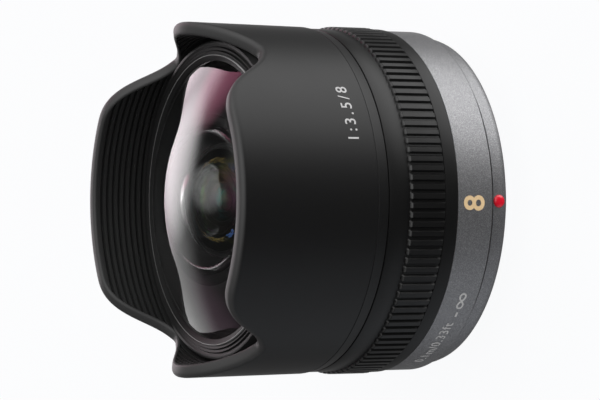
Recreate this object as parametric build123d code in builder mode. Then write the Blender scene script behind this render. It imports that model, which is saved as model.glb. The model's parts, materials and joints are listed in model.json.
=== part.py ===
"""Fisheye lens for a mirrorless camera, built as separate pieces. Millimetres and degrees.

The optical axis is +Z, towards the subject. Z is zero on the mount's flange face.
The index dot looks along -Y, and the two long hood petals stand at -Y and +Y.
"""

from build123d import *
from math import cos, pi, radians, sin, sqrt, tan, acos
import os

os.makedirs("parts", exist_ok=True)

# Driving sizes of the outside
front_radius = 30.35
hood_tip = 51.7
skirt_start = 0.6
skirt_length = 3.5
grey_length = 6.75
rear_seam = 0.1
rear_band_length = 2.5
knurl_length = 6.75
front_band_length = 3.85
front_seam = 0.15
overrun = 1.0
slip = 0.05
run_gap = 0.08

# Bayonet mount
plate_thickness = 1.5
plate_step = 0.65
spigot_radius = 18.9
spigot_wall = 1.7
spigot_length = 5.2
lug_reach = 2.0
lug_thickness = 1.4
lug_setback = 2.2
lug_span_angle = 52
lug_angles = (30, 150, 270)
relief_gap = 0.3
relief_depth = 0.3
lock_hole_radius = 1.15
lock_hole_inset = 3.2
mount_screw_inset = 4.0
mount_screw_angles = (45, 135, 225, 315)
screw_shank = 0.8
screw_head = 1.45
screw_head_depth = 0.7
mount_screw_reach = 3.0

# Mount skirt and index dot
skirt_step = 0.95
skirt_rear_step = 0.6
skirt_neck_step = 0.6
skirt_neck_length = 2.0
skirt_chamfer = 1.0
dot_radius = 0.95
dot_proud = 0.3
dot_depth = 0.75
dot_round = 0.25

# Rear barrel, the grey ring
grey_step = 0.55
grey_round = 0.25
grey_lip_length = 1.2

# Main barrel
barrel_wall = 1.2
web_thickness = 1.4
barrel_front = 26.6
web_bore = 10.0
boss_radius = 1.5
boss_length = 3.0
frame_screw_angles = (0, 120, 240)
hood_screw_inset = 4.0
hood_screw_angles = (45, 135, 225, 315)
hood_screw_head_height = 0.8

# Focus ring and its encoder comb
ring_step = 0.1
ring_wall = 2.75
rear_band_step = 0.2
front_band_step = 0.45
rib_count = 120
groove_width = 0.5
groove_depth = 0.4
band_edge = 0.2
comb_recess_depth = 0.8
comb_recess_length = 4.05
comb_fit = 0.08
comb_wall = 0.45
comb_start_gap = 0.45
comb_length = 3.5
comb_band = 1.1
comb_teeth = 48
comb_tooth_share = 0.5

# Hood
hood_base_step = 0.6
hood_taper = 0.3
hood_base_length = 2.15
hood_wall = 2.35
hood_rear_step = 1.4
hood_flange_thickness = 1.6
hood_flange_width = 7.5
notch_drop = 10.3
short_petal_drop = 3.3
long_petal_shares = ((0.4613, 0), (0.6886, 0.398), (0.771, 0.8252), (0.8501, 1))
short_petal_shares = ((0, 0), (0.2735, 0.4), (0.4283, 0.7857), (0.5667, 1))
hood_groove_count = 8
hood_groove_drop = 8.3
hood_groove_pitch = 1.0
hood_groove_width = 0.5
hood_groove_depth = 0.35

# Front glass, from its front vertex back
dome_vertex = 48.5
dome_rear_radius = 13.5
dome_thickness = 2.2
dome_inset = 4.1
dome_rear_rim = 12.8

# Second glass
air_after_dome = 6.5
glass_2_front = 24.0
glass_2_rear = 8.2
glass_2_thickness = 1.3
glass_2_rim = 11.8
glass_2_rear_rim = 7.6
glass_2_ring_width = 0.6
glass_2_ring_height = 0.55

# Front cell, trim ring and seal
cell_floor_thickness = 2.0
cell_neck_wall = 1.55
cell_lip_width = 0.55
cell_lip_height = 0.5
cell_shelf_bore = 8.6
cell_shelf_thickness = 1.3
trim_depth = 2.3
trim_seat_gap = 0.1
seal_width = 0.8
trim_lip = 0.1
trim_mouth_inset = 3.2
trim_mouth_height = 42.4
trim_step_count = 3
trim_step_width = 0.63
trim_step_drop = 0.12
trim_edge_drop = 1.2

# Third and fourth glass and their cell
glass_3_rise = 1.2
glass_3_front = -40.0
glass_3_rear = 14.0
glass_3_thickness = 0.9
glass_3_rim = 8.2
glass_3_rear_rim = 6.8
glass_4_rise = 0.8
glass_4_front = 15.0
glass_4_rear = -30.0
glass_4_thickness = 3.0
glass_4_rim = 6.6
middle_cell_radius = 9.8
middle_cell_flange = 13.5
middle_cell_flange_thickness = 1.0
middle_cell_lip = 0.7
middle_ring_width = 0.9
middle_ring_height = 0.4

# Iris unit
iris_opening = 4.6
iris_base_thickness = 1.2
iris_unit_height = 3.8
iris_rim_wall = 1.1
iris_inner_radius = 15.4
blade_count = 7
blade_inner = 4.7
blade_outer = 9.2
blade_start_angle = -6
blade_span_angle = 146
blade_thickness = 0.1
blade_pitch = 0.2
blade_lift = 0.1
blade_pad = 0.9
blade_neck_angles = (-4, 18)
pivot_place = 11.5
drive_offset = 3.0
pin_radius = 0.35
pin_depth = 0.8
cam_gap = 0.12
cam_thickness = 0.6
cam_bore = 8.4
cam_turn_angle = 36
blade_turn_angle = 20
cover_gap = 0.15
cover_thickness = 0.7
gear_module = 0.3
sector_teeth = 112
pinion_teeth = 14
sector_start_angle = 18
sector_span_angle = 48
sector_addendum = 0.2
pinion_addendum = 0.28
tooth_root = 0.36
tooth_play = 0.06
pressure_angle = 20
iris_motor_angle = 60
iris_motor_radius = 3.0
iris_motor_length = 6.8
iris_shaft_radius = 0.4
iris_shaft_end = 0.4
iris_ear_radius = 3.4
iris_boss_place = 17.7
iris_boss_radius = 1.3
iris_boss_angles = (150, 240, 340)
window_margin_angle = 6

# Focus group
rod_place = 15.0
main_rod_angle = 200
second_rod_angle = 20
rod_radius = 0.75
rod_seat = 1.0
carriage_rise = 4.8
carriage_length = 8.0
carriage_radius = 7.7
glass_5_inset = 0.1
glass_5_front = 16.0
glass_5_rear = -22.0
glass_5_thickness = 2.6
glass_5_rim = 5.8
glass_6_drop = 3.3
glass_6_front = 18.0
glass_6_thickness = 3.2
cement_radius = -16.0
cement = 0.02
glass_7_thickness = 1.0
glass_7_rear = -60.0
glass_6_rim = 6.4
carriage_lip = 0.5
carriage_lip_thickness = 0.9
sleeve_radius = 1.6
arm_width = 2.2
fork_length = 1.5
fork_drop = 3.6
focus_ring_width = 0.8
flag_place = 16.0
flag_width = 2.0
flag_thickness = 0.5
flag_angle = 290
flag_drop = 1.7
flag_arm_height = 1.4
flag_arm_lift = 1.0

# Lead screw, nut, motor and bracket
screw_place = 16.0
screw_angle = 225
lead_screw_radius = 0.75
pivot_radius = 0.4
nut_radius = 1.6
nut_flange_radius = 2.2
nut_flange_thickness = 0.7
nut_rise = 3.5
nut_height = 2.9
nut_arm_thickness = 1.4
nut_arm_radius = 2.4
motor_radius = 3.6
motor_wall = 0.8
motor_rise = 1.0
motor_length = 5.4
rotor_radius = 2.5
rotor_length = 3.4
bracket_sheet = 0.8
bracket_width = 6.0
bracket_inset = 0.8

# Rear frame, rear cell and rear glass
frame_rear = 3.6
frame_thickness = 1.2
frame_gap = 0.1
mount_boss_radius = 1.6
board_boss_radius = 1.2
board_boss_inset = 1.8
board_boss_angles = (90, 200, 330)
glass_8_rise = 2.6
glass_8_front = -40.0
glass_8_rear = 20.0
glass_8_thickness = 1.0
glass_8_rim = 8.0
glass_9_drop = 1.5
glass_9_front = 22.0
glass_9_rear = -25.0
glass_9_thickness = 4.0
glass_9_rim = 8.3
glass_10_drop = 4.3
glass_10_front = 32.0
glass_10_rear = -60.0
glass_10_thickness = 2.4
glass_10_rim = 9.0
rear_cell_radius = 11.2
rear_cell_flange = 13.6
rear_cell_flange_thickness = 0.8
rear_cell_lip = 0.6
rear_cell_lip_thickness = 0.4
rear_cell_tail = 3.0
rear_ring_width = 0.7
rear_ring_height = 0.9

# Board, chips, flex and sensors
board_start = 1.9
board_thickness = 0.6
board_inset = 4.5
board_gap = 1.0
chip_height = 0.8
chip_inset = 4.8
chip_sizes = ((5.0, 5.0), (4.0, 3.0), (3.0, 2.0), (3.4, 3.4))
chip_angles = (120, 160, 265, 355)
flex_thickness = 0.2
flex_width = 3.0
contact_flex_width = 14.0
contact_flex_place = 14.6
motor_flex_place = 19.6
sensor_width = 3.4
sensor_depth = 3.0
sensor_height = 4.2
sensor_slot = 1.3
sensor_slot_depth = 2.6
reader_width = 3.0
reader_height = 2.6
reader_depth = 2.2
reader_nose = 0.9
reader_angles = (100, 110)
reader_centre = 13.3

# Contact block and rear baffle
block_depth = 3.6
block_span_angle = 96
block_rear = -4.9
block_front = -1.2
contact_count = 11
contact_pitch_angle = 8.0
contact_inset = 1.7
contact_length = 2.2
contact_width = 1.1
contact_proud = 0.15
contact_depth = 0.6
contact_angle = 90
baffle_fit = 0.1
baffle_rear = -2.8
baffle_thickness = 1.0
baffle_gap = 0.15
window_width = 19.0
window_height = 14.6
window_rail = 0.8
window_rail_height = 0.5


def save(name, part):
    part.label = name
    export_step(part, f"parts/{name}.step")


def on_circle(radius, angle):
    return (radius * cos(radians(angle)), radius * sin(radians(angle)))


def face_at(height, angle=0.0, radius=0.0):
    """A level plane at a height, turned about the axis, with its origin on a circle."""
    x, y = on_circle(radius, angle)
    return Plane(origin=(x, y, height), x_dir=(*on_circle(1, angle), 0), z_dir=(0, 0, 1))


def turned(*points):
    """A closed outline of (radius, height) points turned about the optical axis."""
    with BuildPart() as piece:
        with BuildSketch(Plane.XZ):
            with BuildLine():
                Polyline(*points, close=True)
            make_face()
        revolve(axis=Axis.Z)
    return piece.part


def sector(inner, outer, start, span):
    """A stretch of a flat ring, drawn in the sketch that calls it."""
    with BuildLine() as outline:
        CenterArc((0, 0), outer, start, span)
        CenterArc((0, 0), inner, start, span)
        Line(on_circle(inner, start), on_circle(outer, start))
        Line(on_circle(inner, start + span), on_circle(outer, start + span))
    make_face(outline.edges())


def surface(vertex, radius, height):
    """Height along the axis of a spherical face, at a distance from the axis."""
    side = 1 if radius > 0 else -1
    return vertex - radius + side * sqrt(radius**2 - height**2)


def glass(vertex, front, rear, thickness, rim, rear_rim=None):
    """One lens element, from its front vertex, its two radii and its rim."""
    rear_rim = rear_rim or rim
    rear_vertex = vertex - thickness
    front_edge = surface(vertex, front, rim)
    rear_edge = surface(rear_vertex, rear, rear_rim)
    with BuildPart() as element:
        with BuildSketch(Plane.XZ):
            with BuildLine():
                half = rim / 2
                ThreePointArc((0, vertex), (half, surface(vertex, front, half)), (rim, front_edge))
                Line((rim, front_edge), (rim, rear_edge))
                if rear_rim < rim:
                    Line((rim, rear_edge), (rear_rim, rear_edge))
                half = rear_rim / 2
                middle = (half, surface(rear_vertex, rear, half))
                ThreePointArc((rear_rim, rear_edge), middle, (0, rear_vertex))
                Line((0, rear_vertex), (0, vertex))
            make_face()
        revolve(axis=Axis.Z)
    return element.part


# Radii that step in from the front radius
ring_radius = front_radius - ring_step
rear_band_radius = ring_radius - rear_band_step
front_band_radius = ring_radius - front_band_step
grey_radius = front_radius - grey_step
skirt_radius = grey_radius - skirt_step
skirt_rear_radius = skirt_radius - skirt_rear_step
skirt_neck = skirt_radius - skirt_neck_step
plate_radius = skirt_neck - plate_step
mount_screw_place = plate_radius - mount_screw_inset
lock_hole_place = plate_radius - lock_hole_inset
barrel_radius = ring_radius - ring_wall
comb_recess_radius = barrel_radius + comb_recess_depth
comb_radius = comb_recess_radius - comb_fit
hood_screw_place = barrel_radius - hood_screw_inset
hood_flange_bore = barrel_radius - hood_flange_width
hood_base_radius = front_radius - hood_base_step
hood_step_radius = front_radius - hood_taper
hood_bore = front_radius - hood_wall
hood_rear_bore = hood_bore - hood_rear_step
dome_rim = hood_bore - dome_inset
dome_radius = 1.95 * dome_rim
trim_lip_bore = dome_rim - trim_lip
trim_mouth_radius = hood_bore - trim_mouth_inset

# Heights that follow from the driving sizes
skirt_end = skirt_start + skirt_length
grey_end = skirt_end + grey_length
ring_start = grey_end + rear_seam
knurl_start = ring_start + rear_band_length
knurl_end = knurl_start + knurl_length
ring_end = knurl_end + front_band_length
hood_start = ring_end + front_seam
web_rear = barrel_front - web_thickness
barrel_inner = barrel_radius - barrel_wall
board_outer = barrel_inner - board_inset
board_boss_place = board_outer - board_boss_inset
chip_place = board_outer - chip_inset
board_inner = rear_cell_radius + board_gap
frame_front = frame_rear + frame_thickness
iris_base_front = web_rear - iris_unit_height
iris_base_rear = iris_base_front - iris_base_thickness
dome_shelf = surface(dome_vertex - dome_thickness, dome_rear_radius, dome_rear_rim)
dome_edge = surface(dome_vertex, dome_radius, dome_rim)
cell_floor = dome_shelf - cell_floor_thickness
cell_top = dome_edge - trim_depth
glass_4_vertex = barrel_front + glass_4_rise
glass_3_vertex = glass_4_vertex + glass_3_rise
carriage_rear = frame_front + carriage_rise
carriage_front = carriage_rear + carriage_length
glass_5_vertex = carriage_front - glass_5_inset
glass_6_vertex = glass_5_vertex - glass_6_drop
nut_bottom = carriage_rear + nut_rise
motor_bottom = frame_front + motor_rise
bracket_end = iris_base_rear - bracket_inset
glass_8_vertex = frame_front + glass_8_rise
glass_9_vertex = glass_8_vertex - glass_9_drop
glass_10_vertex = glass_9_vertex - glass_10_drop
rear_cell_end = glass_10_vertex - rear_cell_tail


# Bayonet mount: plate, spigot, three lugs, lock-pin hole and screw seats
spigot_bore = spigot_radius - spigot_wall
block_outer = spigot_bore - baffle_fit
block_inner = block_outer - block_depth
contact_place = block_outer - contact_inset
lug_radius = spigot_radius + lug_reach
relief_radius = lug_radius + relief_gap
with BuildPart() as bayonet_mount:
    with BuildSketch(Plane.XY):
        Circle(plate_radius)
        Circle(spigot_bore, mode=Mode.SUBTRACT)
    extrude(amount=plate_thickness)
    with BuildSketch(Plane.XY.offset(-spigot_length)):
        Circle(spigot_radius)
        Circle(spigot_bore, mode=Mode.SUBTRACT)
    extrude(amount=spigot_length + relief_depth)
    with BuildSketch(Plane.XY):
        Circle(relief_radius)
        Circle(spigot_radius, mode=Mode.SUBTRACT)
    extrude(amount=relief_depth, mode=Mode.SUBTRACT)
    with BuildSketch(Plane.XY.offset(-lug_setback - lug_thickness)):
        for angle in lug_angles:
            sector(spigot_radius - slip, lug_radius, angle - lug_span_angle / 2, lug_span_angle)
    extrude(amount=lug_thickness)
    with BuildSketch(face_at(0, 180, lock_hole_place)):
        Circle(lock_hole_radius)
    extrude(amount=plate_thickness, mode=Mode.SUBTRACT)
    for angle in mount_screw_angles:
        with BuildSketch(face_at(0, angle, mount_screw_place)):
            Circle(screw_head + slip)
        extrude(amount=screw_head_depth + slip, mode=Mode.SUBTRACT)
        with BuildSketch(face_at(0, angle, mount_screw_place)):
            Circle(screw_shank + slip)
        extrude(amount=plate_thickness, mode=Mode.SUBTRACT)
    outer_edges = bayonet_mount.edges().filter_by(GeomType.CIRCLE).group_by(SortBy.RADIUS)[-1]
    chamfer(outer_edges.sort_by(Axis.Z)[0], relief_depth)
save("bayonet_mount", bayonet_mount.part)


# Screws stand head down in the plate, and reach into the rear frame's bosses
def screws(angles, place, head_start, head_height, tip, head_up=False):
    """A group of like screws on a circle, each a head and a plain shank."""
    with BuildPart() as group:
        for angle in angles:
            shank_start = tip if head_up else head_start + head_height
            shank_end = head_start if head_up else tip
            with BuildSketch(face_at(head_start, angle, place)):
                Circle(screw_head)
            extrude(amount=head_height)
            with BuildSketch(face_at(shank_start, angle, place)):
                Circle(screw_shank)
            extrude(amount=shank_end - shank_start)
            with BuildSketch(face_at(head_start + (head_height if head_up else 0), angle, place)):
                Rectangle(screw_shank * 1.5, screw_shank / 2)
                Rectangle(screw_shank / 2, screw_shank * 1.5)
            drive = -head_height / 2 if head_up else head_height / 2
            extrude(amount=drive, mode=Mode.SUBTRACT)
    return group.part


screw_tip = plate_thickness + mount_screw_reach
save("mount_screws", screws(mount_screw_angles, mount_screw_place, slip, screw_head_depth, screw_tip))


# Mount skirt, with a neck that slips into the rear barrel and a seat for the dot
dot_height = skirt_start + skirt_length / 2 - slip
skirt_bore = plate_radius + slip
dot_seat = skirt_radius - dot_depth
dot_plane = Plane(origin=(0, -dot_seat, dot_height), x_dir=(1, 0, 0), z_dir=(0, -1, 0))
with BuildPart() as mount_skirt:
    with BuildSketch(Plane.XZ):
        with BuildLine():
            Line((skirt_bore, skirt_start), (skirt_rear_radius, skirt_start))
            TangentArc(
                (skirt_rear_radius, skirt_start),
                (skirt_radius, skirt_start + skirt_chamfer),
                tangent=(1, 1),
            )
            Polyline(
                (skirt_radius, skirt_start + skirt_chamfer),
                (skirt_radius, skirt_end),
                (skirt_neck, skirt_end),
                (skirt_neck, skirt_end + skirt_neck_length),
                (skirt_bore, skirt_end + skirt_neck_length),
                (skirt_bore, skirt_start),
            )
        make_face()
    revolve(axis=Axis.Z)
    with BuildSketch(dot_plane):
        Circle(dot_radius + slip)
    extrude(amount=dot_depth + overrun, mode=Mode.SUBTRACT)
save("mount_skirt", mount_skirt.part)

with BuildPart() as index_dot:
    with BuildSketch(dot_plane):
        Circle(dot_radius)
    extrude(amount=dot_depth + dot_proud)
    fillet(index_dot.faces().sort_by(Axis.Y)[0].edges(), dot_round)
save("index_dot", index_dot.part)


# Rear barrel, the grey ring, with a lip that closes on the main barrel
grey_bore = skirt_neck + slip
with BuildPart() as rear_barrel:
    with BuildSketch(Plane.XZ):
        with BuildLine():
            Polyline(
                (grey_bore, skirt_end),
                (grey_radius, skirt_end),
                (grey_radius, grey_end),
                (barrel_radius + slip, grey_end),
                (barrel_radius + slip, grey_end - grey_lip_length),
                (grey_bore, grey_end - grey_lip_length),
                close=True,
            )
        make_face()
    revolve(axis=Axis.Z)
    outer_edges = rear_barrel.edges().filter_by(GeomType.CIRCLE).group_by(SortBy.RADIUS)[-1]
    fillet(outer_edges.sort_by(Axis.Z)[0], grey_round)
save("rear_barrel", rear_barrel.part)


# Main barrel: the tube that the focus ring turns on, its front web and screw bosses
window_half = reader_height / 2 + slip
with BuildPart() as main_barrel:
    with BuildSketch(Plane.XY.offset(plate_thickness)):
        Circle(barrel_radius)
        Circle(barrel_inner, mode=Mode.SUBTRACT)
    extrude(amount=barrel_front - plate_thickness)
    with BuildSketch(Plane.XY.offset(web_rear)):
        Circle(barrel_radius)
        Circle(web_bore, mode=Mode.SUBTRACT)
    extrude(amount=web_thickness)
    boss_place = barrel_inner - boss_radius
    for angle in frame_screw_angles:
        with BuildSketch(face_at(frame_front, angle, boss_place)):
            Circle(boss_radius)
            with Locations((boss_radius / 2, 0)):
                Rectangle(boss_radius * 1.6, boss_radius * 2)
        extrude(amount=boss_length)
        with BuildSketch(face_at(frame_front, angle, boss_place)):
            Circle(screw_shank + slip)
        extrude(amount=boss_length, mode=Mode.SUBTRACT)
    for angle in hood_screw_angles:
        with BuildSketch(face_at(web_rear, angle, hood_screw_place)):
            Circle(screw_shank + slip)
        extrude(amount=web_thickness, mode=Mode.SUBTRACT)
    for angle in iris_boss_angles:
        with BuildSketch(face_at(web_rear, angle, iris_boss_place)):
            Circle(screw_shank + slip)
        extrude(amount=web_thickness, mode=Mode.SUBTRACT)
    for angle in reader_angles:
        with BuildSketch(face_at(reader_centre - window_half, angle, barrel_radius)):
            Rectangle(barrel_wall * 3, reader_width + 2 * slip)
        extrude(amount=2 * window_half, mode=Mode.SUBTRACT)
save("main_barrel", main_barrel.part)


# Focus ring: two plain bands, the ribbed grip between them and the comb's recess
ring_bore = barrel_radius + run_gap
with BuildPart() as focus_ring:
    with BuildSketch(Plane.XZ):
        with BuildLine():
            Polyline(
                (comb_recess_radius, ring_start),
                (rear_band_radius, ring_start),
                (rear_band_radius, knurl_start),
                (ring_radius, knurl_start),
                (ring_radius, knurl_end),
                (front_band_radius, knurl_end),
                (front_band_radius, ring_end),
                (ring_bore, ring_end),
                (ring_bore, ring_start + comb_recess_length),
                (comb_recess_radius, ring_start + comb_recess_length),
                close=True,
            )
        make_face()
    revolve(axis=Axis.Z)
    band_edges = focus_ring.edges().filter_by(GeomType.CIRCLE).filter_by(
        lambda edge: min(abs(edge.radius - rear_band_radius), abs(edge.radius - front_band_radius)) < slip
    )
    chamfer([band_edges.sort_by(Axis.Z)[0], band_edges.sort_by(Axis.Z)[-1]], band_edge)
    with BuildSketch(Plane.XY.offset(knurl_start)):
        with PolarLocations(ring_radius, rib_count):
            Rectangle(groove_depth * 2, groove_width)
    extrude(amount=knurl_length, mode=Mode.SUBTRACT)
save("focus_ring", focus_ring.part)

comb_start = ring_start + comb_start_gap
comb_gap = comb_tooth_share * 2 * pi * comb_radius / comb_teeth
with BuildPart() as encoder_comb:
    with BuildSketch(Plane.XY.offset(comb_start)):
        Circle(comb_radius)
        Circle(comb_radius - comb_wall, mode=Mode.SUBTRACT)
    extrude(amount=comb_length)
    with BuildSketch(Plane.XY.offset(comb_start)):
        with PolarLocations(comb_radius, comb_teeth):
            Rectangle(comb_wall * 4, comb_gap)
    extrude(amount=comb_length - comb_band, mode=Mode.SUBTRACT)
save("encoder_comb", encoder_comb.part)


# Hood: turned shell with ribs inside, cut to four petals, and a flange behind the glass
hood_step = hood_start + hood_base_length
flange_front = barrel_front + hood_flange_thickness
hood_blank = hood_tip + overrun
hood_slope = (front_radius - hood_step_radius) / (hood_tip - hood_step)
groove_points = []
for index in range(hood_groove_count):
    start = hood_tip - hood_groove_drop + index * hood_groove_pitch
    floor_radius = hood_bore + hood_groove_depth
    groove_points += [
        (hood_bore, start),
        (floor_radius, start),
        (hood_bore, start + hood_groove_width),
    ]


notch_bottom = hood_tip - notch_drop


def rim_points(shares, tip):
    """Points of a petal's rim: across from the front radius, and down from its tip to the notch."""
    return [(front_radius * across, tip - (tip - notch_bottom) * down) for across, down in shares]


def rim_cut(plane, points, top):
    """Cuts both walls above a rim curve, seen square to a plane that holds the axis."""
    half_flat, tip = points[0]
    side = points[-1][0]
    with BuildSketch(plane) as above:
        with BuildLine():
            Spline(*points, tangents=[(1, 0), (1, 0)])
            mirrored = [(-x, z) for x, z in points]
            Spline(*mirrored, tangents=[(-1, 0), (-1, 0)])
            if half_flat:
                Line((-half_flat, tip), (half_flat, tip))
            Polyline((side, notch_bottom), (side, top), (-side, top), (-side, notch_bottom))
        make_face()
    extrude(above.sketch, amount=front_radius + overrun, both=True, mode=Mode.SUBTRACT)


with BuildPart() as front_hood:
    with BuildSketch(Plane.XZ):
        with BuildLine():
            Polyline(
                (barrel_radius + slip, hood_start),
                (hood_base_radius, hood_start),
                (hood_step_radius, hood_step),
                (front_radius + hood_slope * overrun, hood_blank),
                (hood_bore, hood_blank),
                *reversed(groove_points),
                (hood_bore, cell_floor),
                (hood_rear_bore, cell_floor),
                (hood_rear_bore, flange_front),
                (hood_flange_bore, flange_front),
                (hood_flange_bore, barrel_front),
                (barrel_radius + slip, barrel_front),
                close=True,
            )
        make_face()
    revolve(axis=Axis.Z)
    rim_cut(Plane.XZ, rim_points(long_petal_shares, hood_tip), hood_blank + overrun)
    short_tip = hood_tip - short_petal_drop
    rim_cut(Plane.YZ, rim_points(short_petal_shares, short_tip), hood_blank + overrun)
    for angle in hood_screw_angles:
        with BuildSketch(face_at(barrel_front, angle, hood_screw_place)):
            Circle(screw_shank + slip)
        extrude(amount=hood_flange_thickness, mode=Mode.SUBTRACT)
save("front_hood", front_hood.part)

save(
    "hood_screws",
    screws(
        hood_screw_angles,
        hood_screw_place,
        flange_front,
        hood_screw_head_height,
        web_rear + web_thickness / 4,
        head_up=True,
    ),
)


# Front glass, and the second glass behind it with its threaded ring
save(
    "element_1",
    glass(dome_vertex, dome_radius, dome_rear_radius, dome_thickness, dome_rim, dome_rear_rim),
)
glass_2_vertex = dome_vertex - dome_thickness - air_after_dome
glass_2_seat = surface(glass_2_vertex - glass_2_thickness, glass_2_rear, glass_2_rear_rim)
save(
    "element_2",
    glass(
        glass_2_vertex,
        glass_2_front,
        glass_2_rear,
        glass_2_thickness,
        glass_2_rim,
        glass_2_rear_rim,
    ),
)
glass_2_ring_bore = glass_2_rim - glass_2_ring_width
glass_2_ring_start = surface(glass_2_vertex, glass_2_front, glass_2_ring_bore) + slip
with BuildPart() as element_2_ring:
    with BuildSketch(Plane.XY.offset(glass_2_ring_start)):
        Circle(glass_2_rim)
        Circle(glass_2_ring_bore, mode=Mode.SUBTRACT)
    extrude(amount=glass_2_ring_height)
save("element_2_ring", element_2_ring.part)


# Front cell: a cup for the front glass with a neck for the second one
cell_bore = glass_2_rim + slip
cell_radius = hood_bore - slip
cell_neck = cell_bore + cell_neck_wall
cell_bottom = glass_2_seat - cell_shelf_thickness
save(
    "front_cell",
    turned(
        (cell_shelf_bore, cell_bottom),
        (cell_neck, cell_bottom),
        (cell_neck, cell_floor),
        (cell_radius, cell_floor),
        (cell_radius, cell_top),
        (dome_rim + slip, cell_top),
        (dome_rim + slip, dome_shelf),
        (cell_bore + cell_lip_width, dome_shelf),
        (cell_bore + cell_lip_width, dome_shelf + cell_lip_height),
        (cell_bore, dome_shelf + cell_lip_height),
        (cell_bore, glass_2_seat),
        (cell_shelf_bore, glass_2_seat),
    ),
)

# Trim ring: its lip holds the glass, and fine steps lead out from the lip
trim_seat = dome_edge + trim_seat_gap
trim_outer = hood_bore - slip
seal_outer = dome_rim + seal_width
step_points = []
for index in range(trim_step_count):
    radius = trim_mouth_radius + (index + 1) * trim_step_width
    height = trim_mouth_height - index * trim_step_drop
    step_points += [(radius, height), (radius, height - trim_step_drop)]
trim_edge = trim_mouth_height - trim_step_count * trim_step_drop - trim_edge_drop
save(
    "front_trim_ring",
    turned(
        (seal_outer, cell_top),
        (seal_outer, trim_seat),
        (trim_lip_bore, trim_seat),
        (trim_mouth_radius, trim_mouth_height),
        *step_points,
        (trim_outer, trim_edge),
        (trim_outer, cell_top),
    ),
)
save(
    "front_seal",
    turned(
        (dome_rim + slip, cell_top),
        (seal_outer - slip, cell_top),
        (seal_outer - slip, trim_seat - slip),
        (dome_rim + slip, trim_seat - slip),
    ),
)


# Third and fourth glass, their cell and the ring that holds them
glass_3_edge = surface(glass_3_vertex, glass_3_front, glass_3_rim)
glass_3_seat = surface(glass_3_vertex - glass_3_thickness, glass_3_rear, glass_3_rear_rim)
save(
    "element_3",
    glass(
        glass_3_vertex,
        glass_3_front,
        glass_3_rear,
        glass_3_thickness,
        glass_3_rim,
        glass_3_rear_rim,
    ),
)
save(
    "element_4",
    glass(glass_4_vertex, glass_4_front, glass_4_rear, glass_4_thickness, glass_4_rim),
)
glass_4_lip_bore = glass_4_rim - middle_cell_lip
glass_4_seat = surface(glass_4_vertex - glass_4_thickness, glass_4_rear, glass_4_lip_bore) - slip
middle_cell_front = glass_3_edge + middle_ring_height
save(
    "middle_cell",
    turned(
        (glass_4_lip_bore, glass_4_seat - middle_cell_lip / 2),
        (middle_cell_radius, glass_4_seat - middle_cell_lip / 2),
        (middle_cell_radius, barrel_front),
        (middle_cell_flange, barrel_front),
        (middle_cell_flange, barrel_front + middle_cell_flange_thickness),
        (middle_cell_radius, barrel_front + middle_cell_flange_thickness),
        (middle_cell_radius, middle_cell_front),
        (glass_3_rim + slip, middle_cell_front),
        (glass_3_rim + slip, glass_3_seat),
        (glass_4_rim + slip, glass_3_seat),
        (glass_4_rim + slip, glass_4_seat),
        (glass_4_lip_bore, glass_4_seat),
    ),
)
middle_ring_bore = glass_3_rim - middle_ring_width
save(
    "element_3_ring",
    turned(
        (middle_ring_bore, glass_3_edge),
        (glass_3_rim, glass_3_edge),
        (glass_3_rim, middle_cell_front),
        (middle_ring_bore, middle_cell_front),
    ),
)


# Iris base: plate with blade pivots, a rim for the cam ring, an ear and screw bosses
iris_rim_outer = iris_inner_radius + iris_rim_wall
pitch_radius = gear_module * sector_teeth / 2
pinion_pitch = gear_module * pinion_teeth / 2
gear_centre = pitch_radius + pinion_pitch
stack_start = iris_base_front + blade_lift
cam_start = stack_start + blade_count * blade_pitch + cam_gap
cam_end = cam_start + cam_thickness
cover_start = cam_end + cover_gap
window_start = sector_start_angle - window_margin_angle
window_span = sector_span_angle + cam_turn_angle + 2 * window_margin_angle
with BuildPart() as iris_base:
    with BuildSketch(Plane.XY.offset(iris_base_rear)):
        Circle(iris_rim_outer)
        with Locations(on_circle(gear_centre, iris_motor_angle)):
            Circle(iris_ear_radius)
        with Locations([on_circle(iris_boss_place, angle) for angle in iris_boss_angles]):
            Circle(iris_boss_radius)
        Circle(iris_opening, mode=Mode.SUBTRACT)
        with Locations(on_circle(gear_centre, iris_motor_angle)):
            Circle(iris_shaft_radius + run_gap, mode=Mode.SUBTRACT)
    extrude(amount=iris_base_thickness)
    with BuildSketch(Plane.XY.offset(iris_base_front)):
        Circle(iris_rim_outer)
        Circle(iris_inner_radius, mode=Mode.SUBTRACT)
    extrude(amount=iris_unit_height)
    with BuildSketch(Plane.XY.offset(iris_base_front)):
        with Locations([on_circle(iris_boss_place, angle) for angle in iris_boss_angles]):
            Circle(iris_boss_radius)
        Circle(iris_rim_outer - slip, mode=Mode.SUBTRACT)
    extrude(amount=iris_unit_height)
    with BuildSketch(Plane.XY.offset(cam_start - cam_gap)):
        sector(iris_inner_radius - slip, iris_rim_outer + slip, window_start, window_span)
    extrude(amount=web_rear - cam_start + cam_gap, mode=Mode.SUBTRACT)
    with BuildSketch(Plane.XY.offset(iris_base_front)):
        with PolarLocations(pivot_place, blade_count):
            Circle(pin_radius + run_gap)
    extrude(amount=-pin_depth - slip, mode=Mode.SUBTRACT)
    with BuildSketch(Plane.XY.offset(iris_base_rear)):
        with Locations([on_circle(rod_place, angle) for angle in (main_rod_angle, second_rod_angle)]):
            Circle(rod_radius + slip)
    extrude(amount=rod_seat, mode=Mode.SUBTRACT)
save("iris_base", iris_base.part)

with BuildPart() as iris_cover:
    with BuildSketch(Plane.XY.offset(cover_start)):
        Circle(iris_inner_radius - slip)
        Circle(iris_opening, mode=Mode.SUBTRACT)
    extrude(amount=cover_thickness)
save("iris_cover", iris_cover.part)

save(
    "iris_screws",
    screws(
        iris_boss_angles,
        iris_boss_place,
        barrel_front,
        hood_screw_head_height,
        web_rear + slip,
        head_up=True,
    ),
)


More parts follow.
